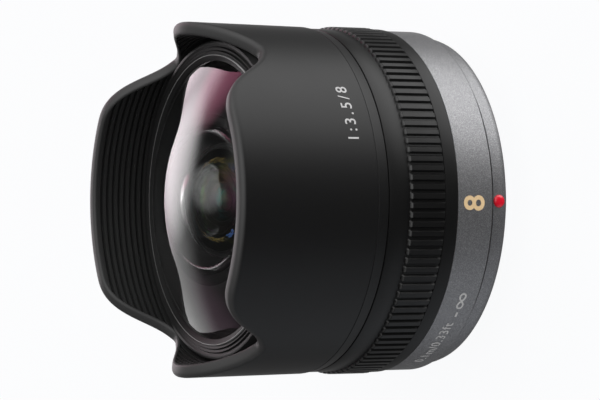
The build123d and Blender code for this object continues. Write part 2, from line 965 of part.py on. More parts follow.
# Blades: each in its own layer, with a pivot pin behind and a drive pin in front
drive_point = (pivot_place, drive_offset)
for index in range(blade_count):
    turn = index * 360 / blade_count
    layer = stack_start + index * blade_pitch
    with BuildPart() as blade:
        with BuildSketch(face_at(layer, turn)):
            sector(blade_inner, blade_outer, blade_start_angle, blade_span_angle)
            with Locations((pivot_place, 0), drive_point):
                Circle(blade_pad)
            with BuildLine():
                Polyline(
                    (pivot_place, -blade_pad),
                    (pivot_place + blade_pad, 0),
                    (drive_point[0] + blade_pad, drive_offset),
                    (drive_point[0], drive_offset + blade_pad),
                    on_circle(blade_outer - blade_pad, blade_neck_angles[1]),
                    on_circle(blade_outer - blade_pad, blade_neck_angles[0]),
                    close=True,
                )
            make_face()
        extrude(amount=blade_thickness)
        with BuildSketch(face_at(layer, turn)):
            with Locations((pivot_place, 0)):
                Circle(pin_radius)
        extrude(amount=iris_base_front - pin_depth - layer)
        with BuildSketch(face_at(layer, turn)):
            with Locations(drive_point):
                Circle(pin_radius)
        extrude(amount=cam_end - layer)
    save(f"iris_blade_{index + 1}", blade.part)


def tooth(pitch, addendum, root):
    """One gear tooth pointing along X, its flanks drawn as involutes through four points."""
    base = pitch * cos(radians(pressure_angle))
    half = pi / 4 * gear_module - tooth_play / 2
    roll = tan(radians(pressure_angle)) - radians(pressure_angle)
    flank = []
    low = max(base, pitch - root)
    for share in (0, 1 / 3, 2 / 3, 1):
        radius = low + share * (pitch + addendum - low)
        slope = acos(min(1, base / radius))
        turn = half / pitch + roll - (tan(slope) - slope)
        flank.append((radius * cos(turn), radius * sin(turn)))
    foot = (pitch - root) - gear_module
    other = [(x, -y) for x, y in flank]
    with BuildLine() as outline:
        Spline(*flank)
        Spline(*other)
        Line(flank[-1], other[-1])
        Polyline(flank[0], (foot, flank[0][1]), (foot, other[0][1]), other[0])
    make_face(outline.edges())


# Cam ring: seven slots that follow the drive pins, and a toothed sector
def slot_point(share):
    """Where a drive pin stands on the cam ring, part of the way from open to closed."""
    swing = radians(share * blade_turn_angle)
    x = pivot_place - drive_offset * sin(swing)
    y = drive_offset * cos(swing)
    back = radians(-share * cam_turn_angle)
    return (x * cos(back) - y * sin(back), x * sin(back) + y * cos(back))


tooth_angle = 360 / sector_teeth
with BuildPart() as cam:
    with BuildSketch(Plane.XY.offset(cam_start)):
        Circle(iris_inner_radius - run_gap)
        sector(cam_bore, pitch_radius - tooth_root, sector_start_angle, sector_span_angle)
        Circle(cam_bore, mode=Mode.SUBTRACT)
    extrude(amount=cam_thickness)
    for index in range(blade_count):
        with BuildSketch(face_at(cam_start, index * 360 / blade_count)):
            with BuildLine() as path:
                ThreePointArc(slot_point(0), slot_point(0.5), slot_point(1))
            SlotArc(path.wires()[0], 2 * (pin_radius + run_gap))
        extrude(amount=cam_thickness, mode=Mode.SUBTRACT)
    first = int((sector_start_angle - iris_motor_angle) / tooth_angle) - 0.5
    count = int(sector_span_angle / tooth_angle)
    for index in range(count):
        with BuildSketch(face_at(cam_start, iris_motor_angle + (first + 1 + index) * tooth_angle)):
            tooth(pitch_radius, sector_addendum, tooth_root)
        extrude(amount=cam_thickness)
save("iris_ring", cam.part)

motor_top = iris_base_rear
motor_start = motor_top - iris_motor_length
shaft_start = motor_start + motor_wall
with BuildPart() as iris_pinion:
    with BuildSketch(face_at(shaft_start, iris_motor_angle, gear_centre)):
        Circle(iris_shaft_radius)
    extrude(amount=cam_end + iris_shaft_end - shaft_start)
    with BuildSketch(face_at(cam_start, iris_motor_angle, gear_centre)):
        Circle(pinion_pitch - tooth_root)
    extrude(amount=cam_thickness)
    for index in range(pinion_teeth):
        turn = iris_motor_angle + 180 + index * 360 / pinion_teeth
        place = face_at(cam_start, iris_motor_angle, gear_centre)
        facing = Plane(origin=place.origin, x_dir=(*on_circle(1, turn), 0), z_dir=(0, 0, 1))
        with BuildSketch(facing):
            tooth(pinion_pitch, pinion_addendum, tooth_root)
        extrude(amount=cam_thickness)
save("iris_pinion", iris_pinion.part)

with BuildPart() as iris_motor:
    with BuildSketch(face_at(motor_start, iris_motor_angle, gear_centre)):
        Circle(iris_motor_radius)
    extrude(amount=iris_motor_length)
    with BuildSketch(face_at(shaft_start - slip, iris_motor_angle, gear_centre)):
        Circle(iris_shaft_radius + run_gap)
    extrude(amount=iris_motor_length, mode=Mode.SUBTRACT)
    fillet(iris_motor.edges().group_by(Axis.Z)[0], iris_shaft_radius)
save("iris_motor", iris_motor.part)


# Rear frame: plate that carries the rear cell, rods and motor, with bosses behind it
cell_hole = rear_cell_radius + slip
with BuildPart() as rear_frame:
    with BuildSketch(Plane.XY.offset(frame_rear)):
        Circle(barrel_inner - frame_gap)
        Circle(cell_hole, mode=Mode.SUBTRACT)
        with Locations([on_circle(boss_place, angle) for angle in frame_screw_angles]):
            Circle(screw_shank + slip, mode=Mode.SUBTRACT)
        with Locations([on_circle(rod_place, angle) for angle in (main_rod_angle, second_rod_angle)]):
            Circle(rod_radius + slip, mode=Mode.SUBTRACT)
    extrude(amount=frame_thickness)
    with BuildSketch(Plane.XY.offset(plate_thickness)):
        with Locations([on_circle(mount_screw_place, angle) for angle in mount_screw_angles]):
            Circle(mount_boss_radius)
    extrude(amount=frame_rear - plate_thickness)
    with BuildSketch(Plane.XY.offset(plate_thickness)):
        with Locations([on_circle(mount_screw_place, angle) for angle in mount_screw_angles]):
            Circle(screw_shank + slip)
    extrude(amount=mount_screw_reach + slip, mode=Mode.SUBTRACT)
    with BuildSketch(Plane.XY.offset(board_start + board_thickness)):
        with Locations([on_circle(board_boss_place, angle) for angle in board_boss_angles]):
            Circle(board_boss_radius)
    extrude(amount=frame_rear - board_start - board_thickness)
    with BuildSketch(face_at(frame_rear, iris_motor_angle, motor_flex_place)):
        Rectangle(flex_thickness * 4, flex_width + flex_thickness * 2)
    extrude(amount=frame_thickness, mode=Mode.SUBTRACT)
save("rear_frame", rear_frame.part)

save(
    "frame_screws",
    screws(
        frame_screw_angles,
        boss_place,
        frame_rear - screw_head_depth,
        screw_head_depth,
        frame_front + boss_length,
    ),
)


# Guide rods run from the rear frame to the iris base
with BuildPart() as guide_rods:
    with BuildSketch(Plane.XY.offset(frame_rear)):
        with Locations([on_circle(rod_place, angle) for angle in (main_rod_angle, second_rod_angle)]):
            Circle(rod_radius)
    extrude(amount=iris_base_rear + rod_seat - frame_rear)
save("guide_rods", guide_rods.part)


# Focus glass: a single element and a cemented pair
save(
    "element_5",
    glass(glass_5_vertex, glass_5_front, glass_5_rear, glass_5_thickness, glass_5_rim),
)
save(
    "element_6",
    glass(glass_6_vertex, glass_6_front, cement_radius, glass_6_thickness, glass_6_rim),
)
glass_7_vertex = glass_6_vertex - glass_6_thickness - cement
save(
    "element_7",
    glass(glass_7_vertex, cement_radius, glass_7_rear, glass_7_thickness, glass_6_rim),
)


# Focus carriage: a cell on a long sleeve and a fork, with arms for the nut and flag
lip_5_bore = glass_5_rim - carriage_lip
lip_5 = surface(glass_5_vertex - glass_5_thickness, glass_5_rear, lip_5_bore) - slip
lip_6_bore = glass_6_rim - carriage_lip
lip_6 = surface(glass_6_vertex, glass_6_front, lip_6_bore) + slip
lip_rear = lip_5 - carriage_lip_thickness
cell_5 = glass_5_rim + slip
cell_6 = glass_6_rim + slip
nut_arm_start = nut_bottom + nut_flange_thickness
rod_hole = rod_radius + run_gap / 2
with BuildPart() as focus_carriage:
    with BuildSketch(Plane.XY.offset(carriage_rear)):
        Circle(carriage_radius)
        with Locations(on_circle(rod_place, main_rod_angle)):
            Circle(sleeve_radius)
    extrude(amount=carriage_front - carriage_rear)
    with BuildSketch(face_at(carriage_rear, main_rod_angle, (carriage_radius + rod_place) / 2)):
        Rectangle(rod_place - carriage_radius + slip, arm_width)
    extrude(amount=carriage_front - carriage_rear)
    with BuildSketch(face_at(carriage_front - fork_drop, second_rod_angle, carriage_radius)):
        with Locations(((rod_place - carriage_radius) / 2, 0)):
            Rectangle(rod_place - carriage_radius + 2 * fork_length, 2 * sleeve_radius)
    extrude(amount=fork_length)
    with BuildSketch(Plane.XY.offset(nut_arm_start)):
        with Locations(on_circle(rod_place, main_rod_angle)):
            Circle(sleeve_radius)
        with Locations(on_circle(screw_place, screw_angle)):
            Circle(nut_arm_radius)
        make_hull()
    extrude(amount=nut_arm_thickness)
    flag_bottom = carriage_rear - flag_drop
    flag_arm = carriage_rear + flag_arm_lift
    flag_outer = flag_place + flag_width / 2
    with BuildSketch(face_at(flag_arm, flag_angle, (carriage_radius + flag_outer) / 2)):
        Rectangle(flag_outer - carriage_radius + flag_thickness, flag_thickness)
    extrude(amount=flag_arm_height)
    with BuildSketch(face_at(flag_bottom, flag_angle, flag_place)):
        Rectangle(flag_width, flag_thickness)
    extrude(amount=flag_arm - flag_bottom)
    with BuildSketch(Plane.XY.offset(carriage_rear)):
        Circle(cell_6)
        with Locations(on_circle(rod_place, main_rod_angle)):
            Circle(rod_hole)
    extrude(amount=carriage_front - carriage_rear, mode=Mode.SUBTRACT)
    with BuildSketch(face_at(carriage_front - fork_drop, second_rod_angle, rod_place)):
        with Locations((fork_length, 0)):
            Rectangle(2 * fork_length + 2 * rod_hole, 2 * rod_hole)
    extrude(amount=fork_length, mode=Mode.SUBTRACT)
    with BuildSketch(face_at(nut_arm_start, screw_angle, screw_place)):
        Circle(nut_radius + slip)
    extrude(amount=nut_arm_thickness, mode=Mode.SUBTRACT)
    with BuildSketch(Plane.XZ):
        with BuildLine():
            Polyline(
                (lip_5_bore, lip_5),
                (cell_5, lip_5),
                (cell_5, carriage_front),
                (cell_6 + slip, carriage_front),
                (cell_6 + slip, lip_6),
                (lip_6_bore, lip_6),
                (lip_6_bore, lip_rear),
                (lip_5_bore, lip_rear),
                close=True,
            )
        make_face()
    revolve(axis=Axis.Z)
save("focus_carriage", focus_carriage.part)

focus_ring_bore = glass_6_rim - focus_ring_width
focus_ring_front = surface(glass_7_vertex - glass_7_thickness, glass_7_rear, focus_ring_bore) - slip
save(
    "focus_retainer",
    turned(
        (focus_ring_bore, carriage_rear),
        (glass_6_rim, carriage_rear),
        (glass_6_rim, focus_ring_front),
        (focus_ring_bore, focus_ring_front),
    ),
)


# Lead screw with its rotor, the nut, the motor and its bracket
motor_end = motor_bottom + motor_length
rotor_start = motor_bottom + (motor_length - rotor_length) / 2
ear_start = bracket_end - bracket_sheet
with BuildPart() as lead_screw:
    with BuildSketch(face_at(rotor_start, screw_angle, screw_place)):
        Circle(rotor_radius)
    extrude(amount=rotor_length)
    with BuildSketch(face_at(rotor_start, screw_angle, screw_place)):
        Circle(lead_screw_radius)
    extrude(amount=ear_start - slip - rotor_start)
    with BuildSketch(face_at(rotor_start, screw_angle, screw_place)):
        Circle(pivot_radius)
    extrude(amount=bracket_end - rotor_start)
save("lead_screw", lead_screw.part)

with BuildPart() as focus_nut:
    with BuildSketch(face_at(nut_bottom, screw_angle, screw_place)):
        Circle(nut_flange_radius)
    extrude(amount=nut_flange_thickness)
    with BuildSketch(face_at(nut_bottom, screw_angle, screw_place)):
        Circle(nut_radius)
    extrude(amount=nut_height)
    with BuildSketch(face_at(nut_bottom, screw_angle, screw_place)):
        Circle(lead_screw_radius + run_gap)
    extrude(amount=nut_height, mode=Mode.SUBTRACT)
save("focus_nut", focus_nut.part)

with BuildPart() as focus_motor:
    with BuildSketch(face_at(motor_bottom, screw_angle, screw_place)):
        Circle(motor_radius)
    extrude(amount=motor_length)
    with BuildSketch(face_at(motor_bottom + motor_wall, screw_angle, screw_place)):
        Circle(rotor_radius + run_gap)
    extrude(amount=motor_length - 2 * motor_wall, mode=Mode.SUBTRACT)
    with BuildSketch(face_at(motor_end - motor_wall, screw_angle, screw_place)):
        Circle(lead_screw_radius + run_gap)
    extrude(amount=motor_wall, mode=Mode.SUBTRACT)
save("focus_motor", focus_motor.part)

spine = screw_place + motor_radius + slip
with BuildPart() as motor_bracket:
    reach = spine + bracket_sheet
    start = screw_place - motor_radius
    for height in (motor_end, ear_start):
        with BuildSketch(face_at(height, screw_angle, (reach + start) / 2)):
            Rectangle(reach - start, bracket_width)
        extrude(amount=bracket_sheet)
    with BuildSketch(face_at(frame_front, screw_angle, spine + bracket_sheet / 2)):
        Rectangle(bracket_sheet, bracket_width)
    extrude(amount=bracket_end - frame_front)
    with BuildSketch(face_at(motor_end, screw_angle, screw_place)):
        Circle(lead_screw_radius + run_gap)
    extrude(amount=bracket_sheet, mode=Mode.SUBTRACT)
    with BuildSketch(face_at(ear_start, screw_angle, screw_place)):
        Circle(pivot_radius + run_gap)
    extrude(amount=bracket_sheet, mode=Mode.SUBTRACT)
save("motor_bracket", motor_bracket.part)


# Rear glass, its cell, spacer and threaded ring
save(
    "element_8",
    glass(glass_8_vertex, glass_8_front, glass_8_rear, glass_8_thickness, glass_8_rim),
)
save(
    "element_9",
    glass(glass_9_vertex, glass_9_front, glass_9_rear, glass_9_thickness, glass_9_rim),
)
save(
    "element_10",
    glass(glass_10_vertex, glass_10_front, glass_10_rear, glass_10_thickness, glass_10_rim),
)
glass_8_edge = surface(glass_8_vertex, glass_8_front, glass_8_rim)
glass_8_back = surface(glass_8_vertex - glass_8_thickness, glass_8_rear, glass_8_rim)
glass_9_back = surface(glass_9_vertex - glass_9_thickness, glass_9_rear, glass_9_rim)
glass_10_edge = surface(glass_10_vertex, glass_10_front, glass_10_rim)
step_9 = (glass_9_back + glass_10_edge) / 2
lip_8 = glass_8_edge + slip
rear_cell_front = lip_8 + rear_cell_lip_thickness
save(
    "rear_cell",
    turned(
        (glass_8_rim - rear_cell_lip, lip_8),
        (glass_8_rim - rear_cell_lip, rear_cell_front),
        (rear_cell_radius, rear_cell_front),
        (rear_cell_radius, frame_front + rear_cell_flange_thickness),
        (rear_cell_flange, frame_front + rear_cell_flange_thickness),
        (rear_cell_flange, frame_front),
        (rear_cell_radius, frame_front),
        (rear_cell_radius, rear_cell_end),
        (glass_10_rim + slip, rear_cell_end),
        (glass_10_rim + slip, step_9),
        (glass_9_rim + slip, step_9),
        (glass_9_rim + slip, glass_8_back),
        (glass_8_rim + slip, glass_8_back),
        (glass_8_rim + slip, lip_8),
    ),
)
spacer_bore = glass_9_rim - rear_ring_width
spacer_front = surface(glass_9_vertex - glass_9_thickness, glass_9_rear, spacer_bore) - slip
spacer_rear = surface(glass_10_vertex, glass_10_front, spacer_bore) + slip
save(
    "rear_spacer",
    turned(
        (spacer_bore, spacer_rear),
        (glass_9_rim, spacer_rear),
        (glass_9_rim, spacer_front),
        (spacer_bore, spacer_front),
    ),
)
rear_ring_bore = glass_10_rim - rear_ring_width
rear_ring_front = (
    surface(glass_10_vertex - glass_10_thickness, glass_10_rear, rear_ring_bore) - slip
)
save(
    "rear_retainer",
    turned(
        (rear_ring_bore, rear_ring_front - rear_ring_height),
        (glass_10_rim, rear_ring_front - rear_ring_height),
        (glass_10_rim, rear_ring_front),
        (rear_ring_bore, rear_ring_front),
    ),
)


# Board, its chips, and the two flat cables
with BuildPart() as main_board:
    with BuildSketch(Plane.XY.offset(board_start)):
        Circle(board_outer)
        Circle(board_inner, mode=Mode.SUBTRACT)
        with Locations([on_circle(mount_screw_place, angle) for angle in mount_screw_angles]):
            Circle(mount_boss_radius + slip, mode=Mode.SUBTRACT)
    extrude(amount=board_thickness)
save("main_board", main_board.part)

with BuildPart() as board_chips:
    for (width, depth), angle in zip(chip_sizes, chip_angles):
        with BuildSketch(face_at(board_start + board_thickness, angle, chip_place)):
            Rectangle(width, depth)
        extrude(amount=chip_height)
save("board_chips", board_chips.part)

with BuildPart() as flex_cables:
    with BuildSketch(face_at(board_start + board_thickness, iris_motor_angle, motor_flex_place)):
        Rectangle(flex_thickness, flex_width)
    extrude(amount=motor_start - board_start - board_thickness)
    with BuildSketch(face_at(block_front, contact_angle, contact_flex_place)):
        Rectangle(flex_thickness, contact_flex_width)
    extrude(amount=board_start - block_front)
save("flex_cables", flex_cables.part)


# Sensors: a fork that the carriage's flag enters, and two readers behind the comb
with BuildPart() as home_sensor:
    with BuildSketch(face_at(frame_front, flag_angle, flag_place)):
        Rectangle(sensor_depth, sensor_width)
    extrude(amount=sensor_height)
    with BuildSketch(face_at(frame_front + sensor_height, flag_angle, flag_place)):
        Rectangle(sensor_depth, sensor_slot)
    extrude(amount=-sensor_slot_depth, mode=Mode.SUBTRACT)
save("home_sensor", home_sensor.part)

reader_low = reader_centre - reader_height / 2
reader_back = sqrt(barrel_inner**2 - (reader_width / 2 + slip) ** 2) - slip
nose_end = barrel_inner + reader_nose
with BuildPart() as ring_readers:
    for angle in reader_angles:
        with BuildSketch(face_at(reader_low, angle, nose_end)):
            with Locations(((reader_back - nose_end - reader_depth) / 2, 0)):
                Rectangle(nose_end - reader_back + reader_depth, reader_width)
        extrude(amount=reader_height)
save("ring_readers", ring_readers.part)


# Contact block with its pins, and the baffle round the rear window
with BuildPart() as contact_block:
    with BuildSketch(Plane.XY.offset(block_rear)):
        sector(block_inner, block_outer, contact_angle - block_span_angle / 2, block_span_angle)
    extrude(amount=block_front - block_rear)
    first_contact = contact_angle - (contact_count - 1) / 2 * contact_pitch_angle
    contact_angles = [first_contact + index * contact_pitch_angle for index in range(contact_count)]
    for angle in contact_angles:
        with BuildSketch(face_at(block_rear, angle, contact_place)):
            Rectangle(contact_length + 2 * slip, contact_width + 2 * slip)
        extrude(amount=contact_depth, mode=Mode.SUBTRACT)
save("contact_block", contact_block.part)

with BuildPart() as contact_pins:
    for angle in contact_angles:
        with BuildSketch(face_at(block_rear + contact_depth, angle, contact_place)):
            Rectangle(contact_length, contact_width)
        extrude(amount=-contact_depth - contact_proud)
save("contact_pins", contact_pins.part)

with BuildPart() as rear_baffle:
    with BuildSketch(Plane.XY.offset(baffle_rear)):
        Circle(spigot_bore - baffle_fit)
        Rectangle(window_width, window_height, mode=Mode.SUBTRACT)
    extrude(amount=baffle_thickness)
    with BuildSketch(Plane.XY.offset(baffle_rear)):
        Rectangle(window_width + 2 * window_rail, window_height + 2 * window_rail)
        Rectangle(window_width, window_height, mode=Mode.SUBTRACT)
    extrude(amount=-window_rail_height)
    with BuildSketch(Plane.XY.offset(baffle_rear - window_rail_height)):
        sector(
            block_inner - baffle_gap,
            block_outer + overrun,
            contact_angle - block_span_angle / 2 - baffle_gap,
            block_span_angle + 2 * baffle_gap,
        )
    extrude(amount=window_rail_height + baffle_thickness, mode=Mode.SUBTRACT)
save("rear_baffle", rear_baffle.part)
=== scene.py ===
import json
import math
import bmesh
import bpy
import numpy as np
from mathutils import Matrix, Vector


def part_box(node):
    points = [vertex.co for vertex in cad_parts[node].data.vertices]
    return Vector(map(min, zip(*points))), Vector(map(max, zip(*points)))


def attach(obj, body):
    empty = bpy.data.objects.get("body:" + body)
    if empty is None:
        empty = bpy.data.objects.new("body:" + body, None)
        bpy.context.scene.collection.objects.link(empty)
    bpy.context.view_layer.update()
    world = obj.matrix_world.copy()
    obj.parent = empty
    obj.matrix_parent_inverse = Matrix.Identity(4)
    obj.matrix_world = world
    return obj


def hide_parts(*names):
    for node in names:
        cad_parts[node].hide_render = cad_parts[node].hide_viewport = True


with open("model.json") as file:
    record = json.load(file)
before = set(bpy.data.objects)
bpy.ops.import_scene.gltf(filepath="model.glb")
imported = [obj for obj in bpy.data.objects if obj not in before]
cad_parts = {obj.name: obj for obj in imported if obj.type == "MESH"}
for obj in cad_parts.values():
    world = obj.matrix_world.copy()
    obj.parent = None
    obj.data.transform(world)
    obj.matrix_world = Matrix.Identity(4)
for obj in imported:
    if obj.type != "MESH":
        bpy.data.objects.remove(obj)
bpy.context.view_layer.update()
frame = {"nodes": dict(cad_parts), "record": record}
nodes = frame["nodes"]
scene = bpy.context.scene
mm = 0.001


# Camera: a long lens that looks down on the standing object, turned so that its front points left
shot = {
    "frameWidth": 600,
    "focalPixels": 3101.42,
    "sensorWidth": 36,
    "clip": (0.01, 20),
    "distance": 550.0,
    "tilt": 0.486,
    "offset": (22.184, -0.1472),
    "roll": -0.0041,
}


def placeCamera():
    tilt, roll = shot["tilt"], shot["roll"]
    right = Vector((0, -math.sin(tilt), -math.cos(tilt)))
    up = Vector((1, 0, 0))
    back = Vector((0, -math.cos(tilt), math.sin(tilt)))
    rolledRight = right * math.cos(roll) - up * math.sin(roll)
    rolledUp = right * math.sin(roll) + up * math.cos(roll)
    across, above = shot["offset"]
    place = back * shot["distance"] - rolledRight * across - rolledUp * above
    data = bpy.data.cameras.new("photoCamera")
    data.sensor_width = shot["sensorWidth"]
    data.lens = shot["focalPixels"] / shot["frameWidth"] * shot["sensorWidth"]
    data.clip_start, data.clip_end = shot["clip"]
    camera = bpy.data.objects.new("photoCamera", data)
    scene.collection.objects.link(camera)
    axes = Matrix((rolledRight, rolledUp, back)).transposed().to_4x4()
    axes.translation = place * mm
    camera.matrix_world = axes
    scene.camera = camera


placeCamera()
print("camera placed")


# Makers of meshes. Every point array is in millimetres, and becomes metres in the mesh.
# weld is how near, in metres, points have to be to merge in a made mesh and in a copied one;
# plainCrease is in degrees; longestCut is the share of an edge that a corner's curve may take
weld = {"made": 2e-7, "copied": 1e-6}
plainCrease = 32
longestCut = 0.45


def meshFromGrid(name, points, wrapRows, wrapColumns, crease=plainCrease, highlight=None):
    # a grid of rows by columns; each cell is one face, and poles are merged into one point;
    # the last argument gives each point's share of painted highlight, kept as an attribute that
    # the material reads
    rows, columns = points.shape[:2]
    rowEnd = rows if wrapRows else rows - 1
    columnEnd = columns if wrapColumns else columns - 1
    r, c = np.meshgrid(np.arange(rowEnd), np.arange(columnEnd), indexing="ij")
    r2, c2 = (r + 1) % rows, (c + 1) % columns
    cells = (r * columns + c, r * columns + c2, r2 * columns + c2, r2 * columns + c)
    faces = np.stack(cells, -1).reshape(-1, 4)
    flat = points.reshape(-1, 3)
    first, second, third, fourth = (flat[faces[:, corner]] for corner in range(4))
    outward = np.cross(second, third) + np.cross(third, fourth)
    if np.sum(first * outward) < 0:
        faces = faces[:, ::-1]
    mesh = bpy.data.meshes.new(name)
    mesh.from_pydata((flat * mm).tolist(), [], faces.tolist())
    if highlight is not None:
        share = mesh.attributes.new("highlight", "FLOAT", "POINT")
        share.data.foreach_set("value", np.asarray(highlight, np.float32).ravel())
    return finishMesh(name, mesh, crease)


def finishMesh(name, mesh, crease):
    shape = bmesh.new()
    shape.from_mesh(mesh)
    bmesh.ops.remove_doubles(shape, verts=shape.verts, dist=weld["made"])
    bmesh.ops.dissolve_degenerate(shape, dist=weld["made"], edges=shape.edges)
    shape.to_mesh(mesh)
    shape.free()
    return addPiece(name, mesh, crease)


def addPiece(name, mesh, crease):
    mesh.polygons.foreach_set("use_smooth", np.ones(len(mesh.polygons), bool))
    mesh.set_sharp_from_angle(angle=math.radians(crease))
    mesh.update()
    piece = bpy.data.objects.new(name, mesh)
    scene.collection.objects.link(piece)
    return piece


def softOutline(corners, cut, steps):
    # each corner of a closed outline becomes a short curve:
    # (1-t)^2 before + 2t(1-t) corner + t^2 after
    corners = np.asarray(corners, float)
    cut = np.broadcast_to(np.asarray(cut, float), len(corners))[:, None]
    toLast = np.roll(corners, 1, 0) - corners
    toNext = np.roll(corners, -1, 0) - corners
    lastLength = np.linalg.norm(toLast, axis=1, keepdims=True)
    nextLength = np.linalg.norm(toNext, axis=1, keepdims=True)
    before = (corners + toLast * np.minimum(cut / lastLength, longestCut))[:, None]
    after = (corners + toNext * np.minimum(cut / nextLength, longestCut))[:, None]
    t = np.linspace(0, 1, steps + 1)[None, :, None]
    curve = (1 - t) ** 2 * before + 2 * t * (1 - t) * corners[:, None] + t**2 * after
    return curve.reshape(-1, 2)


def around(angle, radius, height):
    # the point at an angle from -Y towards +X, at a radius from the axis, and at a height
    return np.stack([radius * np.sin(angle), -radius * np.cos(angle), height + 0 * angle], -1)


def turned(name, outline, columns, closed=True, crease=plainCrease, highlight=None):
    # x = radius cos angle, y = radius sin angle, z = height, for every outline point and angle
    outline = np.asarray(outline, float)
    angle = np.linspace(0, 2 * np.pi, columns, endpoint=False)
    radius, height = outline[:, :1], outline[:, 1:]
    points = np.stack([radius * np.cos(angle), radius * np.sin(angle), height + 0 * angle], -1)
    return meshFromGrid(name, points, closed, True, crease, highlight)


def smoothCopy(name, node):
    # a merged copy of a CAD node, so that its round walls shade as round
    mesh = nodes[node].data.copy()
    mesh.name = name
    if "custom_normal" in mesh.attributes:
        mesh.attributes.remove(mesh.attributes["custom_normal"])
    shape = bmesh.new()
    shape.from_mesh(mesh)
    bmesh.ops.remove_doubles(shape, verts=shape.verts, dist=weld["copied"])
    shape.to_mesh(mesh)
    shape.free()
    return addPiece(name, mesh, plainCrease)


def dress(piece, material, body, slot, *replaced):
    piece.data.materials.clear()
    piece.data.materials.append(material)
    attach(piece, body)
    if replaced:
        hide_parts(*replaced)


# Shared effects, each a node group with named sockets
grainLook = {"detail": 3, "broadScale": 90, "depth": 0.00002}


def newGroup(name, inputs, outputs):
    group = bpy.data.node_groups.new(name, "ShaderNodeTree")
    for label, kind, value in inputs:
        socket = group.interface.new_socket(name=label, in_out="INPUT", socket_type=kind)
        socket.default_value = value
    for label, kind in outputs:
        group.interface.new_socket(name=label, in_out="OUTPUT", socket_type=kind)
    return group, group.nodes.new("NodeGroupInput"), group.nodes.new("NodeGroupOutput")


def connect(tree, *pairs):
    for source, target in pairs:
        tree.links.new(source, target)


def setInputs(node, **values):
    for socket, value in values.items():
        node.inputs[socket.replace("_", " ")].default_value = value


def newColorMix(tree):
    mix = tree.nodes.new("ShaderNodeMix")
    mix.data_type = "RGBA"
    return mix


def makeGrainGroup():
    # even fine grain of paint or moulded plastic: noise drives colour, roughness and height
    group, given, result = newGroup(
        "fineGrain",
        [
            ("Scale", "NodeSocketFloat", 4000.0),
            ("Dark", "NodeSocketColor", (0.01, 0.01, 0.01, 1)),
            ("Light", "NodeSocketColor", (0.02, 0.02, 0.02, 1)),
            ("Smooth", "NodeSocketFloat", 0.35),
            ("Rough", "NodeSocketFloat", 0.45),
        ],
        [
            ("Color", "NodeSocketColor"),
            ("Roughness", "NodeSocketFloat"),
            ("Height", "NodeSocketFloat"),
        ],
    )
    place = group.nodes.new("ShaderNodeTexCoord")
    noise = group.nodes.new("ShaderNodeTexNoise")
    setInputs(noise, Detail=grainLook["detail"])
    broad = group.nodes.new("ShaderNodeTexNoise")
    setInputs(broad, Scale=grainLook["broadScale"])
    mixColor = newColorMix(group)
    blendRough = group.nodes.new("ShaderNodeMapRange")
    connect(
        group,
        (place.outputs["Object"], noise.inputs["Vector"]),
        (place.outputs["Object"], broad.inputs["Vector"]),
        (given.outputs["Scale"], noise.inputs["Scale"]),
        (noise.outputs["Fac"], mixColor.inputs["Factor"]),
        (given.outputs["Dark"], mixColor.inputs["A"]),
        (given.outputs["Light"], mixColor.inputs["B"]),
        (broad.outputs["Fac"], blendRough.inputs["Value"]),
        (given.outputs["Smooth"], blendRough.inputs["To Min"]),
        (given.outputs["Rough"], blendRough.inputs["To Max"]),
        (mixColor.outputs["Result"], result.inputs["Color"]),
        (blendRough.outputs["Result"], result.inputs["Roughness"]),
        (noise.outputs["Fac"], result.inputs["Height"]),
    )
    return group


def makeFlakeGroup():
    # metal flakes in lacquer: small cells, a few of them bright, tilt the light
    group, given, result = newGroup(
        "metalFlakes",
        [
            ("Scale", "NodeSocketFloat", 6000.0),
            ("Base", "NodeSocketColor", (0.1, 0.1, 0.1, 1)),
            ("Flake", "NodeSocketColor", (0.4, 0.4, 0.4, 1)),
            ("Share", "NodeSocketFloat", 0.7),
        ],
        [("Color", "NodeSocketColor"), ("Height", "NodeSocketFloat")],
    )
    place = group.nodes.new("ShaderNodeTexCoord")
    cells = group.nodes.new("ShaderNodeTexVoronoi")
    split = group.nodes.new("ShaderNodeSeparateColor")
    pick = group.nodes.new("ShaderNodeMapRange")
    mixColor = newColorMix(group)
    connect(
        group,
        (place.outputs["Object"], cells.inputs["Vector"]),
        (given.outputs["Scale"], cells.inputs["Scale"]),
        (cells.outputs["Color"], split.inputs["Color"]),
        (split.outputs["Red"], pick.inputs["Value"]),
        (given.outputs["Share"], pick.inputs["From Min"]),
        (pick.outputs["Result"], mixColor.inputs["Factor"]),
        (given.outputs["Base"], mixColor.inputs["A"]),
        (given.outputs["Flake"], mixColor.inputs["B"]),
        (mixColor.outputs["Result"], result.inputs["Color"]),
        (split.outputs["Green"], result.inputs["Height"]),
    )
    return group


def makeInsideGroup():
    # distance from the lens axis, as a share that is 1 at the bore and 0 at the outer wall
    group, given, result = newGroup(
        "insideMask",
        [("Bore", "NodeSocketFloat", 0.0281), ("Wall", "NodeSocketFloat", 0.0286)],
        [("Mask", "NodeSocketFloat")],
    )
    place = group.nodes.new("ShaderNodeTexCoord")
    flat = group.nodes.new("ShaderNodeVectorMath")
    flat.operation = "MULTIPLY"
    flat.inputs[1].default_value = (1, 1, 0)
    length = group.nodes.new("ShaderNodeVectorMath")
    length.operation = "LENGTH"
    share = group.nodes.new("ShaderNodeMapRange")
    setInputs(share, To_Min=1, To_Max=0)
    connect(
        group,
        (place.outputs["Object"], flat.inputs[0]),
        (flat.outputs["Vector"], length.inputs[0]),
        (length.outputs["Value"], share.inputs["Value"]),
        (given.outputs["Bore"], share.inputs["From Min"]),
        (given.outputs["Wall"], share.inputs["From Max"]),
        (share.outputs["Result"], result.inputs["Mask"]),
    )
    return group


grainGroup = makeGrainGroup()
flakeGroup = makeFlakeGroup()
insideGroup = makeInsideGroup()


# Makers of materials
filmIor = 1.38


def grey(value, blue=1.0):
    return (value, value, value * blue, 1)


